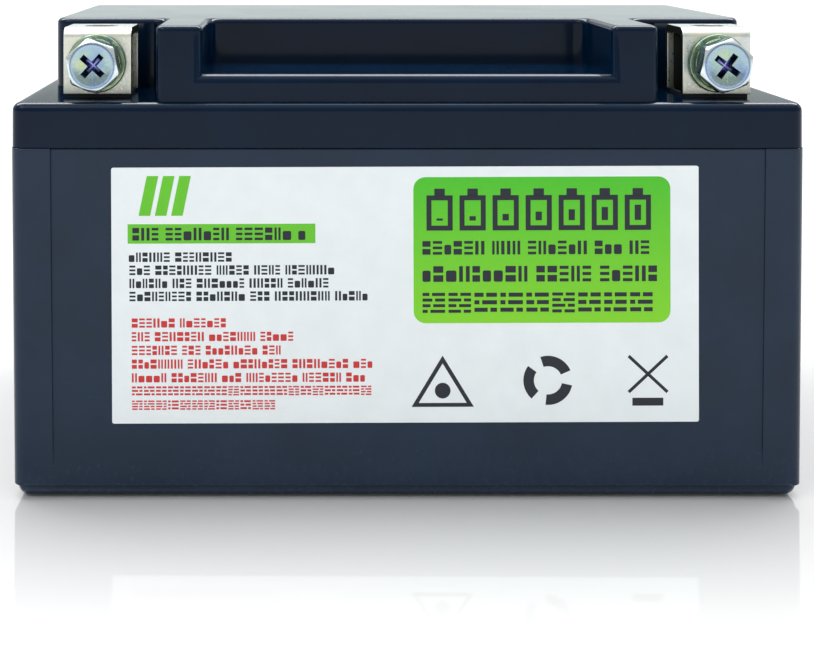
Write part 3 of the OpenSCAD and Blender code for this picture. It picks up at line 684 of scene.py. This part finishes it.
def case_mesh():
    insets = (0.0, PANEL_DEPTH, FOOT_INSET, WALL - RABBET_W, WALL)
    bm = block_shape(
        both_signs(PANEL_X, *[HALF_L - v for v in insets]),
        both_signs(PANEL_Y, *[HALF_W - v for v in insets]) + [0.0],
        (0.0, FOOT_H, FLOOR, PANEL_Z, SEAM - RABBET_H, SEAM),
        case_solid, on_middle_line,
    )

    for v in bm.verts:
        sunk_x = abs(v.co.x) < PANEL_X + 0.1 and near(abs(v.co.y), HALF_W - PANEL_DEPTH)
        sunk_y = abs(v.co.y) < PANEL_Y + 0.1 and near(abs(v.co.x), HALF_L - PANEL_DEPTH)
        if near(v.co.z, PANEL_Z) and (sunk_x or sunk_y):
            v.co.z += PANEL_RAMP

    def on_outside(edge):
        m = middle(edge)
        return near(abs(m.x), HALF_L) or near(abs(m.y), HALF_W)

    def outer_corner(edge):
        inset = FOOT_INSET if middle(edge).z < FOOT_H else 0.0
        return at_corner(edge, HALF_L - inset, HALF_W - inset)

    def panel_frame(edge):
        m = middle(edge)
        side_line = near(abs(m.x), PANEL_X) and abs(m.y) > HALF_W - PANEL_DEPTH - 0.1
        end_line = near(abs(m.y), PANEL_Y) and abs(m.x) > HALF_L - PANEL_DEPTH - 0.1
        return is_upright(edge) and (side_line or end_line)

    round_edges(bm, outer_corner, CORNER_R, 8)
    round_edges(bm, lambda e: is_level(e, 0.0), FOOT_R, 6)
    round_edges(bm, lambda e: is_level(e, FOOT_H) and on_outside(e), WALL_FOOT_R, 4)
    round_edges(bm, panel_frame, PANEL_R, 3)
    round_edges(bm, lambda e: is_level(e, SEAM) and abs(middle(e).y) > HALF_W - 0.8, SEAM_R, 3)
    for v in bm.verts:
        narrowed = DRAFT * (SEAM - v.co.z) / SEAM
        v.co.x *= 1 - narrowed / HALF_L
        v.co.y *= 1 - narrowed / HALF_W
    return bm


def lid_solid(x, y, z):
    side = abs(x)
    depth = abs(y)
    if z < SEAM:
        outer = side < HALF_L - WALL + TONGUE_W and depth < HALF_W - WALL + TONGUE_W
        return outer and not (side < HALF_L - WALL and depth < HALF_W - WALL)
    in_block = side < BLOCK_X and BLOCK_Y0 < y < BLOCK_Y1
    in_band = side < PILLAR_OUT and PILLAR_Y < y < BLOCK_Y0
    in_slot = any(x0 < x < x1 and y0 < y < y1 for x0, x1, y0, y1 in tail_slots)
    if z < LEDGE:
        hollow = side < HALF_L - WALL and depth < HALF_W - WALL and z < LEDGE - WALL
        return not hollow and not in_slot
    if in_block:
        hollow = side < BLOCK_X - WALL and BLOCK_Y0 + WALL < y < BLOCK_Y1 - WALL
        return z < TOP and not (hollow and z < TOP - WALL)
    if in_band:
        return z < (TOP if side > PILLAR_IN else BAND)
    return False


def tail_slot(side):
    low, high = box_mm(side + "_terminal")
    middle_x = (low.x + high.x) / 2
    reach = TAIL_W / 2 + SLOT_GAP
    return (middle_x - reach, middle_x + reach, high.y - PLATE - SLOT_GAP, high.y + SLOT_GAP)


tail_slots = [tail_slot(side) for side in SIDES]


def lid_mesh():
    slot_x = [v for slot in tail_slots for v in slot[:2]]

    def divided(edge):
        beside_slot = all(any(near(v.co.x, x) for x in slot_x) for v in edge.verts)
        behind_slot = BLOCK_Y0 - 4 < middle(edge).y < BLOCK_Y0
        return on_middle_line(edge) or (beside_slot and behind_slot)

    bm = block_shape(
        slot_x + both_signs(
            LID_HALF_L, HALF_L - WALL, HALF_L - WALL + TONGUE_W, BLOCK_X, BLOCK_X - WALL,
            PILLAR_OUT, PILLAR_IN,
        ),
        list(tail_slots[0][2:]) + both_signs(LID_HALF_W, HALF_W - WALL, HALF_W - WALL + TONGUE_W)
        + [PILLAR_Y, BLOCK_Y0, BLOCK_Y0 + WALL, 0.0, BLOCK_Y1 - WALL, BLOCK_Y1],
        (SEAM - TONGUE_H, SEAM, LEDGE - WALL, LEDGE, BAND, TOP - WALL, TOP),
        lid_solid, divided,
    )

    def block_corner(edge, y):
        m = middle(edge)
        return is_upright(edge) and m.z > LEDGE and near(abs(m.x), BLOCK_X) and near(m.y, y)

    def crook(edge):
        m = middle(edge)
        return is_upright(edge) and m.z > LEDGE and near(m.y, BLOCK_Y0) and abs(m.x) < PILLAR_OUT + 1

    def front_edge(edge):
        m = middle(edge)
        return near(m.y, PILLAR_Y) and (is_upright(edge) and m.z > LEDGE or is_level(edge, BAND))

    def on_rim(edge, z, x_gap, y_gap):
        m = middle(edge)
        return is_level(edge, z) and (abs(m.x) > LID_HALF_L - x_gap or abs(m.y) > LID_HALF_W - y_gap)

    round_edges(bm, lambda e: at_corner(e, LID_HALF_L, LID_HALF_W), CORNER_R, 8)
    round_edges(bm, lambda e: block_corner(e, BLOCK_Y0), BLOCK_FRONT_R, 8)
    round_edges(bm, lambda e: block_corner(e, BLOCK_Y1), BLOCK_BACK_R, 8)
    round_edges(bm, front_edge, PILLAR_R, 6)
    round_edges(bm, crook, CROOK_R, 6)
    round_edges(bm, lambda e: is_level(e, TOP), TOP_R, 5)
    round_edges(bm, lambda e: on_rim(e, LEDGE, 2.6, 1.5), LEDGE_R, 6)
    round_edges(bm, lambda e: on_rim(e, SEAM, 0.8, 0.8), SEAM_R, 3)
    return bm


piece("case_shell", case_mesh(), "case_plastic", "battery", "case")
piece("lid_shell", lid_mesh(), "lid_plastic", "battery", "lid")


# ---------- terminals ----------


def holed_faces(bm, row_a, row_b, centre, across, along, radius):
    """Two faces between rows of three corners, which leave a round hole between them."""
    half = 24
    outline = arc((0, 0), radius, -90, 270, 2 * half)[:-1]
    ring = [bm.verts.new(centre + a * across + b * along) for a, b in outline]
    right = ring[: half + 1]
    left = ring[half:] + ring[:1]
    bm.faces.new([row_a[1], row_a[2], row_b[2], row_b[1]] + right[::-1])
    bm.faces.new([row_b[1], row_b[0], row_a[0], row_a[1]] + left[::-1])


def terminal_mesh(side):
    """Folded plate: front leg, top and back leg in one strip, with two holes and a tail."""
    low, high = box_mm(side + "_terminal")
    axis_x, axis_z = bolt_axis(side)
    middle_x = (low.x + high.x) / 2
    half = (high.x - low.x) / 2
    middle_y = (low.y + high.y) / 2
    front_bend = arc((low.y + BEND_R, high.z - BEND_R), BEND_R, 180, 90, 6)
    back_bend = arc((high.y - BEND_R, high.z - BEND_R), BEND_R, 90, 0, 6)
    path = [(low.y, TERMINAL_BASE)] + front_bend + back_bend
    bm = bmesh.new()

    def row(y, z, offsets):
        return [bm.verts.new((middle_x + dx, y, z)) for dx in offsets]

    rows = [row(y, z, (-half, 0.0, half)) for y, z in path]
    right, up, back = Vector((1, 0, 0)), Vector((0, 0, 1)), Vector((0, 1, 0))
    for k, (a, b) in enumerate(zip(rows, rows[1:])):
        if k == 0:
            holed_faces(bm, a, b, Vector((axis_x, low.y, axis_z)), right, up, PLATE_HOLE_R)
        elif k == len(front_bend):
            holed_faces(bm, a, b, Vector((middle_x, middle_y, high.z)), right, back, PLATE_HOLE_R)
        else:
            bm.faces.new((a[0], a[1], b[1], b[0]))
            bm.faces.new((a[1], a[2], b[2], b[1]))
    last = rows[-1]
    foot = row(high.y, TERMINAL_BASE, (-half, -TAIL_W / 2, 0.0, TAIL_W / 2, half))
    end = row(high.y, low.z, (-TAIL_W / 2, 0.0, TAIL_W / 2))
    bm.faces.new((last[0], last[1], foot[2], foot[1], foot[0]))
    bm.faces.new((last[1], last[2], foot[4], foot[3], foot[2]))
    bm.faces.new((foot[1], foot[2], end[1], end[0]))
    bm.faces.new((foot[2], foot[3], end[2], end[1]))
    bm.normal_update()
    return with_modifiers(bm, [
        ("SOLIDIFY", {"thickness": PLATE, "offset": -1.0, "use_even_offset": True}),
        ("BEVEL", {"width": 0.22, "segments": 2, "angle_limit": radians(50)}),
    ])


def bolt_axis(side):
    """X and Z of a bolt's axis, in millimetres, from its hinge."""
    joint = next(j for j in frame["joints"] if j["name"] == side + "_bolt_turn")
    return joint["pos_m"][0] / MM, joint["pos_m"][2] / MM


def on_bolt_axis(side):
    """Turns +Z to the front and moves the origin to the terminal's front face, on the bolt's axis."""
    x, z = bolt_axis(side)
    y = box_mm(side + "_terminal")[0].y
    return Matrix.Translation((x, y, z)) @ Matrix.Rotation(radians(90), 4, "X")


def tapped_cutter(start, end):
    """Round cutter with a ridge for each turn of the thread."""
    rings = []
    z = start
    while z < end:
        for r, height in ((NUT_BORE_R, z), (NUT_BORE_R - NUT_THREAD_DEPTH, z + THREAD_PITCH / 2)):
            rings.append([(x, y, height) for x, y in arc((0, 0), r, 0, 360, 40)[:-1]])
        z += THREAD_PITCH
    return loft(rings)


def nut_block_mesh(side):
    """Block inside the folded plate, tapped from the front and from above."""
    low, high = box_mm(side + "_nut_block")
    bm = block_shape(*zip(low, high), always)
    round_edges(bm, always, 0.45, 3)
    axis_x, axis_z = bolt_axis(side)
    front = place(tapped_cutter(low.y - high.y - 4, 1.0), on_bolt_axis(side))
    above = tapped_cutter(axis_z, high.z + 1.0)
    place(above, Matrix.Translation((axis_x, (low.y + high.y) / 2, 0)))
    cutters = [new_object("cutter", cutter) for cutter in (front, above)]
    result = with_modifiers(bm, [
        ("BOOLEAN", {"operation": "DIFFERENCE", "solver": "EXACT", "object": c}) for c in cutters
    ])
    for cutter in cutters:
        discard(cutter)
    return result


# ---------- bolts and washers ----------


def hex_radius(turn):
    """Radius of a hexagon with slightly rounded corners, with a corner at turn 0."""
    turn = radians(turn)
    sixth = pi / 3
    from_flat = (turn % sixth) - sixth / 2
    flat = HEX_AF / 2 / cos(from_flat)
    return min(flat, HEX_AF / 2 / cos(sixth / 2) - 0.12)


def cross_radius(turn):
    """Radius of a cross with an arm at turn 0."""
    off = radians(abs((turn + 45.0) % 90.0 - 45.0))
    end = CROSS_SPAN / 2 / cos(off)
    side = CROSS_W / 2 / max(sin(off), 1e-6)
    return min(end, side)


def bolt_turns(head_turn, cross_turn):
    """Angles that meet every corner of the hexagon and of the cross."""
    arm_corner = degrees(atan(CROSS_W / CROSS_SPAN))
    from_arm = [step * arm_corner for step in (0, 0.6, 1.0, 1.35, 1.8, 2.5, 3.1)] + [45]
    from_corner = (0, 2.2, 5, 15, 22.5, 30)
    turns = set()
    for first, pitch, steps in ((cross_turn, 90, from_arm), (head_turn, 60, from_corner)):
        for base, step, s in product(range(0, 360, pitch), steps, (-1, 1)):
            turns.add(round((first + base + s * step) % 360, 3))
    kept = []
    for turn in sorted(turns):
        if not kept or turn - kept[-1] > 0.35:
            kept.append(turn)
    return kept


def bolt_mesh(side):
    """Tip, rolled thread, pressed hexagon head with scalloped chamfer and a cross recess."""
    head_turn, cross_turn = HEAD_TURN[side], CROSS_TURN[side]
    turns = bolt_turns(head_turn, cross_turn)
    under = FLAT_T + SPRING_T
    tip = under - BOLT_L
    face = under + HEAD_H
    rings = []

    def ring(radius, height):
        points = []
        for turn in turns:
            r = radius(turn) if callable(radius) else radius
            z = height(turn) if callable(height) else height
            points.append(around(r, radians(turn), z))
        rings.append(points)

    def thread_radius(z):
        def at(turn):
            phase = (z / THREAD_PITCH - turn / 360.0) % 1.0
            ridge = min(1.0, abs(2 * phase - 1) * 1.25)
            return SHANK_R - THREAD_DEPTH * (1 - ridge)
        return at

    ring(SHANK_R - THREAD_DEPTH - 0.5, tip)
    ring(SHANK_R - THREAD_DEPTH, tip + 0.4)
    z = tip + 0.6
    while z < under - 1.6:
        ring(thread_radius(z), z)
        z += THREAD_PITCH / 6
    ring(SHANK_R - 0.15, under - 1.2)
    ring(SHANK_R - 0.15, under - 0.3)
    ring(SHANK_R + 0.15, under)

    def hexagon(shrink):
        return lambda turn: hex_radius(turn - head_turn) - shrink

    def chamfer(drop):
        def at(turn):
            past = max(0.0, hex_radius(turn - head_turn) - HEAD_FACE_R)
            return face - drop - past * 0.6
        return at

    ring(4.3, under)
    ring(hexagon(0.15), under + 0.02)
    ring(hexagon(0.0), under + 0.17)
    ring(hexagon(0.0), chamfer(0.16))
    ring(hexagon(0.06), chamfer(0.07))
    ring(HEAD_FACE_R - 0.05, face - 0.03)
    ring(HEAD_FACE_R - 0.35, face)
    ring(3.55, face - 0.03)
    ring(3.15, face - 0.14)

    def cross(scale, web):
        return lambda turn: max(web, scale * cross_radius(turn - cross_turn))

    floor = face - CROSS_DEPTH
    ring(cross(1.06, 0.0), face - 0.17)
    ring(cross(1.0, 0.0), face - 0.25)
    ring(cross(0.86, 0.0), face - 1.1)
    ring(cross(0.62, 0.3), floor + 0.25)
    ring(cross(0.2, 0.2), floor)
    return place(loft(rings), on_bolt_axis(side))


def flat_washer_mesh(side):
    section = rounded_rectangle(WASHER_HOLE_R, 0.0, FLAT_R, FLAT_T, 0.28, 3)
    turns = [-2 * pi * k / 72 for k in range(72)]
    rings = [[around(r, turn, z) for r, z in section] for turn in turns]
    return place(loft(rings, closed_loop=True), on_bolt_axis(side))


def spring_washer_mesh(side):
    """Split ring with slanting ends, one of them standing a little proud."""
    slit = 0.8
    slant = tan(radians(25))
    mid_r = (WASHER_HOLE_R + SPRING_R) / 2
    half_gap = slit / 2 / mid_r
    section = rounded_rectangle(WASHER_HOLE_R, 0.0, SPRING_R, SPRING_T - 0.1, 0.2, 3)
    steps = 60
    rings = []
    for k in range(steps + 1):
        share = k / steps
        turn = half_gap + (2 * pi - 2 * half_gap) * share
        lift = FLAT_T + 0.1 * (1 - share)
        rings.append([
            around(r, turn - (z - SPRING_T / 2) * slant / mid_r, z + lift) for r, z in section
        ])
    bm = loft(rings)
    bmesh.ops.recalc_face_normals(bm, faces=bm.faces[:])
    return place(bm, on_bolt_axis(side))


def bolt_finish(side):
    x, z = bolt_axis(side)
    face_y = box_mm(f"{side}_bolt")[0].y
    return plated_metal(f"{side}_bolt_zinc", BOLT_TONES, 0.18, 4.5, head=(x, z, face_y), edge=0.4)


def plate_finish(side):
    low, high = box_mm(f"{side}_terminal")
    hole = ((low.x + high.x) / 2, (low.y + high.y) / 2, high.z)
    return plated_metal(f"{side}_plate_tin", PLATE_TONES, 0.32, foot=84.0, hole=hole)


for side in SIDES:
    for name, make, slot, body, node, finish in (
        ("terminal_plate", terminal_mesh, "terminal_plate", "battery", "terminal", plate_finish(side)),
        ("tapped_block", nut_block_mesh, "nut_metal", "battery", "nut_block", None),
        ("hex_bolt", bolt_mesh, "zinc_bolt", f"{side}_screw", "bolt", bolt_finish(side)),
        ("flat_ring", flat_washer_mesh, "zinc_washer", f"{side}_washers", "flat_washer", None),
        ("split_ring", spring_washer_mesh, "zinc_washer", f"{side}_washers", "spring_washer", None),
    ):
        piece(f"{side}_{name}", make(side), slot, body, f"{side}_{node}", finish)


# ---------- front label ----------

LABEL_TILT = radians(0.2)
INK = 0.02
label_mid = (label_low + label_high) / 2
label_w, label_t, label_h = label_high - label_low


class Sheet:
    """Printed shapes in the label's plane. u runs right from its left edge, v down from its top."""

    def __init__(self, layer, thick=INK):
        self.bm = bmesh.new()
        self.layer = layer
        self.thick = thick

    def point(self, u, v, lift):
        x = label_low.x + u - label_mid.x
        z = label_high.z - v - label_mid.z
        turned_x = x * cos(LABEL_TILT) - z * sin(LABEL_TILT)
        turned_z = x * sin(LABEL_TILT) + z * cos(LABEL_TILT)
        height = label_mid.z + turned_z
        wall_y = -(HALF_W - PANEL_DEPTH) * (1 - DRAFT * (SEAM - height) / SEAM / HALF_W)
        return Vector((label_mid.x + turned_x, wall_y - lift, height))

    def shape(self, outline):
        """Closed thin plate from an outline of (u, v) points, clockwise or not."""
        area = sum(a[0] * b[1] - b[0] * a[1] for a, b in zip(outline, outline[1:] + outline[:1]))
        if area < 0:
            outline = outline[::-1]
        back, front = [
            [self.bm.verts.new(self.point(u, v, lift)) for u, v in outline]
            for lift in (self.layer, self.layer + self.thick)
        ]
        self.bm.faces.new(back)
        self.bm.faces.new(front[::-1])
        for k in range(len(outline)):
            self.bm.faces.new((back[k], back[k - 1], front[k - 1], front[k]))

    def bar(self, u, v, width, height, radius=0.0):
        if radius:
            self.shape(rounded_rectangle(u, v, u + width, v + height, radius, 6))
        else:
            self.shape([(u, v), (u + width, v), (u + width, v + height), (u, v + height)])


# Marks that stand for a printed character: stems, bars or blocks, never a letter. Each bar is given
# by its left, top, width, height and corner radius, as shares of the mark's width and height.
GREEKED_MARKS = (
    ((0, 0, 0.36, 1, 0), (0.64, 0, 0.36, 1, 0)),
    ((0, 0, 1, 0.2, 0), (0, 0.4, 1, 0.2, 0), (0, 0.8, 1, 0.2, 0)),
    ((0, 0.28, 1, 0.72, 0.12),),
    ((0, 0, 1, 0.42, 0), (0, 0.58, 1, 0.42, 0)),
)


def greeked_row(sheet, u, v, length, height):
    """A row of marks in words, which can't be read."""
    end = u + length
    while u < end - 0.6 * height:
        for _ in range(random.randint(3, 9)):
            width = height * random.uniform(0.48, 0.68)
            if u + width > end:
                break
            for left, top, wide, high, radius in GREEKED_MARKS[random.randrange(4)]:
                sheet.bar(
                    u + left * width, v + top * height, wide * width, high * height, radius * height
                )
            u += width + 0.17 * height
        u += 0.4 * height


def charge_row(sheet, u, v, count, pitch, width, height, line):
    """A row of plain cell icons, each a frame with a terminal nub, filled to a rising level."""
    for k in range(count):
        left = u + k * pitch
        nub = 0.16 * height
        top = v + nub
        body = height - nub
        sheet.bar(left + 0.3 * width, v, 0.4 * width, nub + 0.1)
        for bar_top in (top, v + height - line):
            sheet.bar(left, bar_top, width, line)
        for bar_left in (left, left + width - line):
            sheet.bar(bar_left, top + line, line, body - 2 * line)
        level = (body - 4 * line) * (k + 1) / count
        sheet.bar(left + 2 * line, v + height - 2 * line - level, width - 4 * line, level)


def tile_row(sheet, u, v, length, size, gap):
    """A row of square tiles, each cut in a few plain strips."""
    end = u + length
    while u + size <= end + 0.01:
        strips = random.choice((3, 4))
        pitch = size / strips
        for k in range(strips):
            split = random.uniform(0.3, 0.7) * size
            top = v + k * pitch
            thick = 0.55 * pitch
            sheet.bar(u, top, split - 0.08 * size, thick)
            sheet.bar(u + split + 0.04 * size, top, size - split - 0.04 * size, thick)
        u += size + gap


def ring_arc(sheet, u, v, inner, outer, start, end):
    """A thick arc about (u, v)."""
    sheet.shape(arc((u, v), outer, start, end, 14) + arc((u, v), inner, end, start, 14))


def disc(sheet, u, v, radius):
    sheet.shape(arc((u, v), radius, 0, 360, 32)[:-1])


def stroke(sheet, start, end, width):
    run = Vector((end[0] - start[0], end[1] - start[1]))
    side = Vector((-run.y, run.x)).normalized() * width / 2
    sheet.shape([
        (point[0] + s * side.x, point[1] + s * side.y)
        for point, s in ((start, 1), (end, 1), (end, -1), (start, -1))
    ])


def triangle_frame(sheet, u, v, width, height, line):
    corners = [(u, v), (u + width / 2, v + height), (u - width / 2, v + height)]
    centre = (u, v + height * 2 / 3)
    shrink = 1 - line / (height / 3)
    inner = [
        (centre[0] + (c[0] - centre[0]) * shrink, centre[1] + (c[1] - centre[1]) * shrink)
        for c in corners
    ]
    for k in range(3):
        n = (k + 1) % 3
        sheet.shape([corners[k], corners[n], inner[n], inner[k]])


# Places and sizes on the label, in millimetres from its top left corner

film_sheet = Sheet(0.0, label_t)
film_sheet.bar(0, 0, label_w, label_h, 0.4)
piece("label_film", film_sheet.bm, "label_film", "battery", "front_label")

panel = Sheet(label_t)
panel.bar(57.6, 2.0, 49.0, 27.9, 2.3)
panel_green = green_print("panel_green", label_high.z - 30, label_high.z - 2)
piece("label_green_panel", panel.bm, "label_film", "battery", finish=panel_green)

# Green bar, and an emblem of three slanted bars
green = Sheet(label_t)
green.bar(3.1, 10.8, 35.8, 3.7)
for k in range(3):
    u = 5.2 + 3.1 * k
    green.shape([(u + 1.6, 1.6), (u + 3.8, 1.6), (u + 2.2, 9.2), (u, 9.2)])

# Rows of small print, then three plain signs
navy = Sheet(label_t)
for u, v, length in ((3.3, 16.2, 21.0), (3.4, 18.7, 39.5), (3.4, 21.2, 38.5), (3.4, 23.7, 46.0)):
    greeked_row(navy, u, v, length, 1.8)
triangle_frame(navy, 63.1, 36.1, 11.9, 9.8, 0.75)
disc(navy, 63.1, 42.8, 1.5)
for start in (0, 120, 240):
    ring_arc(navy, 83.2, 40.9, 2.7, 4.7, start + 12, start + 96)
stroke(navy, (98.6, 36.3), (106.0, 43.2), 0.6)
stroke(navy, (106.0, 36.3), (98.6, 43.2), 0.6)
navy.bar(99.3, 44.3, 5.9, 1.5)

# Print on the green panel and on the green bar
title = Sheet(label_t + INK)
charge_row(title, 60.1, 4.2, 7, 6.3, 5.0, 8.0, 0.95)
greeked_row(title, 59.3, 14.2, 44.6, 2.6)
greeked_row(title, 59.3, 19.0, 45.2, 3.0)
tile_row(title, 59.3, 24.1, 44.2, 4.3, 0.65)
greeked_row(title, 4.0, 11.5, 34.4, 2.4)

red = Sheet(label_t)
for k, length in enumerate((19.7, 31.0, 29.6, 46.3, 44.6)):
    greeked_row(red, 3.8, 28.8 + 2.62 * k, length, 1.75)
tile_row(red, 3.8, 41.8, 45.8, 2.0, 0.3)
tile_row(red, 3.8, 44.5, 29.0, 2.0, 0.3)

for name, sheet, ink in (
    ("green_print", green, "green_ink"), ("dark_print", navy, "navy_ink"),
    ("title_print", title, "navy_ink"), ("red_print", red, "red_ink"),
):
    piece(f"label_{name}", sheet.bm, "label_film", "battery", finish=materials[ink])


# ---------- soft packing ----------


def soft_pad(node, spacing, roundness, wobble):
    """Foam cut to the node's place: rounded edges, and faces that aren't quite flat."""
    low, high = box_mm(node)
    lines = []
    for start, length in zip(low, high - low):
        count = max(2, round(length / spacing))
        lines.append([start + length * k / count for k in range(count + 1)])
    bm = block_shape(*lines, always, always)
    half = (high - low) / 2
    centre = (low + high) / 2
    edge = min(roundness, 0.8 * min(half))
    for v in bm.verts:
        local = v.co - centre
        core = Vector([max(edge - h, min(h - edge, at)) for h, at in zip(half, local)])
        dip = 0.5 + 0.5 * noise.noise(v.co * 0.09) + 0.2 * noise.noise(v.co * 0.4)
        out = (local - core).normalized() * (edge - wobble * min(1.0, max(0.0, dip)))
        v.co = centre + core + out
    return bm


for name, node, spacing, roundness, wobble in (
    ("left_foam_block", "positive_side_foam", 2.5, 1.6, 0.5),
    ("right_foam_block", "negative_side_foam", 2.5, 1.6, 0.5),
    ("floor_foam_pad", "bottom_pad", 2.5, 0.4, 0.1),
    ("lid_foam_pad", "bms_foam_pad", 1.5, 0.8, 0.25),
):
    piece(name, soft_pad(node, spacing, roundness, wobble), "foam", "battery", node)


# ---------- inner parts keep their CAD shape and take a finish ----------

for part in frame["record"]["subparts"]:
    node = frame["nodes"][part["node"]]
    if not node.hide_render:
        node.data.materials.clear()
        node.data.materials.append(materials[part["material_slot"]])


# ---------- floor, light and camera ----------

FLOOR_TONE = (0.60, 0.605, 0.61)
MIRROR_SHARE = 0.27
MIRROR_REACH = 0.066


def floor_material():
    """Near-white sweep that mirrors the object faintly close to it."""
    tree = new_tree("studio_floor")
    footprint = (HALF_L * MM, HALF_W * MM, 0.0)
    beyond = tree.vector("SUBTRACT", tree.vector("ABSOLUTE", tree.coords), footprint)
    distance = tree.vector("LENGTH", tree.vector("MAXIMUM", beyond), output="Value")
    fade = tree.fall(distance, 0.0, MIRROR_REACH)
    mirror = tree.math("MULTIPLY", tree.math("POWER", fade, 1.4), MIRROR_SHARE)
    matt = tree.node("BsdfDiffuse", "BSDF", Color=FLOOR_TONE)
    gloss = tree.node("BsdfGlossy", "BSDF", Color=WHITE, Roughness=0.02)
    mixed = tree.node("MixShader", 0, i0=mirror, i1=matt, i2=gloss)
    far_lift = tree.remap(distance, 0.02, 0.5, 0.04, 0.5)
    lift = tree.node("Emission", 0, Color=WHITE, Strength=far_lift)
    surface = tree.node("AddShader", 0, i0=mixed, i1=lift)
    tree.links.new(surface, tree.nodes["Material Output"].inputs["Surface"])
    return tree.owner


def add_floor():
    """A large square just under the battery."""
    reach, height = 6.0, -0.0002
    bm = bmesh.new()
    signs = ((-1, -1), (1, -1), (1, 1), (-1, 1))
    bm.faces.new([bm.verts.new((x * reach, y * reach, height)) for x, y in signs])
    floor = new_object("floor", bm)
    floor.data.materials.append(floor_material())


def add_world():
    """Soft studio: a bright wall behind the object, a dimmer room behind the camera."""
    world = bpy.data.worlds.new("studio")
    bpy.context.scene.world = world
    tree = Tree(world, "Background", "Generated")

    def by_height(stops):
        """Tone that follows (height, colour) stops."""
        made = tree.nodes.new("ShaderNodeValToRGB")
        tree.plug(made.inputs[0], tree.axis("Z"))
        elements = made.color_ramp.elements
        for k in (0, -1):
            elements[k].position = stops[k][0]
            elements[k].color = (*stops[k][1], 1.0)
        for height, colour in stops[1:-1]:
            elements.new(height).color = (*colour, 1.0)
        return made.outputs[0]

    def grey(level, tint=WHITE):
        return tuple(level * t for t in tint)

    pale_green = (0.93, 1.02, 1.0)
    behind = by_height([
        (0.0, grey(0.95, pale_green)), (0.075, grey(0.95, pale_green)), (0.115, grey(0.4, pale_green)),
        (0.17, grey(0.4, pale_green)), (0.24, grey(1.1)), (0.7, grey(1.1)), (1.0, grey(1.4)),
    ])
    front = by_height([(0.0, grey(0.5)), (0.6, grey(0.55)), (0.85, grey(1.4)), (1.0, grey(1.4))])
    backwards = tree.rise(tree.axis("Y"), -0.1, 0.3)
    lit = tree.blend(backwards, front, behind)
    tree.finish(Color=tree.blend(tree.node("LightPath", "Is Camera Ray"), lit, WHITE))


def add_softbox(name, location, aim, size, power, only_on=()):
    """Area light. With only_on, it gives highlights on those pieces and does nothing else."""
    light = bpy.data.lights.new(name, "AREA")
    light.shape = "RECTANGLE"
    light.size, light.size_y = size
    light.energy = power
    obj = bpy.data.objects.new(name, light)
    bpy.context.scene.collection.objects.link(obj)
    obj.location = location
    if only_on:
        obj.visible_diffuse = False
        obj.light_linking.receiver_collection = bpy.data.collections.new(name + "_receivers")
        for piece_name in only_on:
            obj.light_linking.receiver_collection.objects.link(bpy.data.objects[piece_name])
    run = Vector(aim) - Vector(location)
    obj.rotation_euler = run.to_track_quat("-Z", "Y").to_euler()


# Place that the photo was taken from, in metres, and its lens as shares of the photo's width
CAMERA_AT = (-0.02056, -0.3035, 0.1072)
FOCAL_SHARE = 1.678
SHIFT_SHARES = {"shift_x": 0.1314, "shift_y": -0.4748}


def drive_shift(camera, path, shift):
    """Shifts the lens while the camera is in the photo's place, and not once it is elsewhere.

    The camera's y drives the shift through a curve that is zero but for a step 2 mm wide. The
    curve isn't updated after this, because an update merges keys that are so close together.
    """
    curve = camera.data.driver_add(path)
    curve.modifiers.remove(curve.modifiers[0])
    curve.driver.type = "SUM"
    place_y = curve.driver.variables.new()
    place_y.targets[0].id = camera
    place_y.targets[0].data_path = "location.y"
    steps = ((-0.002, 0.0), (-0.001, shift), (0.001, 0.0))
    curve.keyframe_points.add(len(steps))
    for key, (offset, value) in zip(curve.keyframe_points, steps):
        key.co = (CAMERA_AT[1] + offset, value)
        key.interpolation = "CONSTANT"


def add_camera():
    """Level camera to the left of the battery's middle, with its lens shifted down and to the right."""
    data = bpy.data.cameras.new("camera")
    camera = bpy.data.objects.new("camera", data)
    bpy.context.scene.collection.objects.link(camera)
    bpy.context.scene.camera = camera
    camera.location = CAMERA_AT
    camera.rotation_euler = (radians(90), 0, 0)
    data.sensor_width = 36.0
    data.lens = data.sensor_width * FOCAL_SHARE
    data.clip_start = 0.01
    data.clip_end = 50.0
    for path, shift in SHIFT_SHARES.items():
        drive_shift(camera, path, shift)


low_middle = (0.0, 0.0, 0.05)
add_floor()
add_world()
add_softbox("overhead", (0.0, 0.12, 0.75), low_middle, size=(1.1, 0.4), power=5.6)
add_softbox(
    "strip", (0.0, 0.4, 0.8), (0.0, 0.0, 0.08), size=(1.8, 0.32), power=28.0,
    only_on=("case_shell", "lid_shell"),
)
add_softbox("key", (-0.45, -0.5, 0.8), low_middle, size=(0.5, 0.4), power=2.0)
add_camera()
bpy.context.scene.view_settings.view_transform = "Standard"
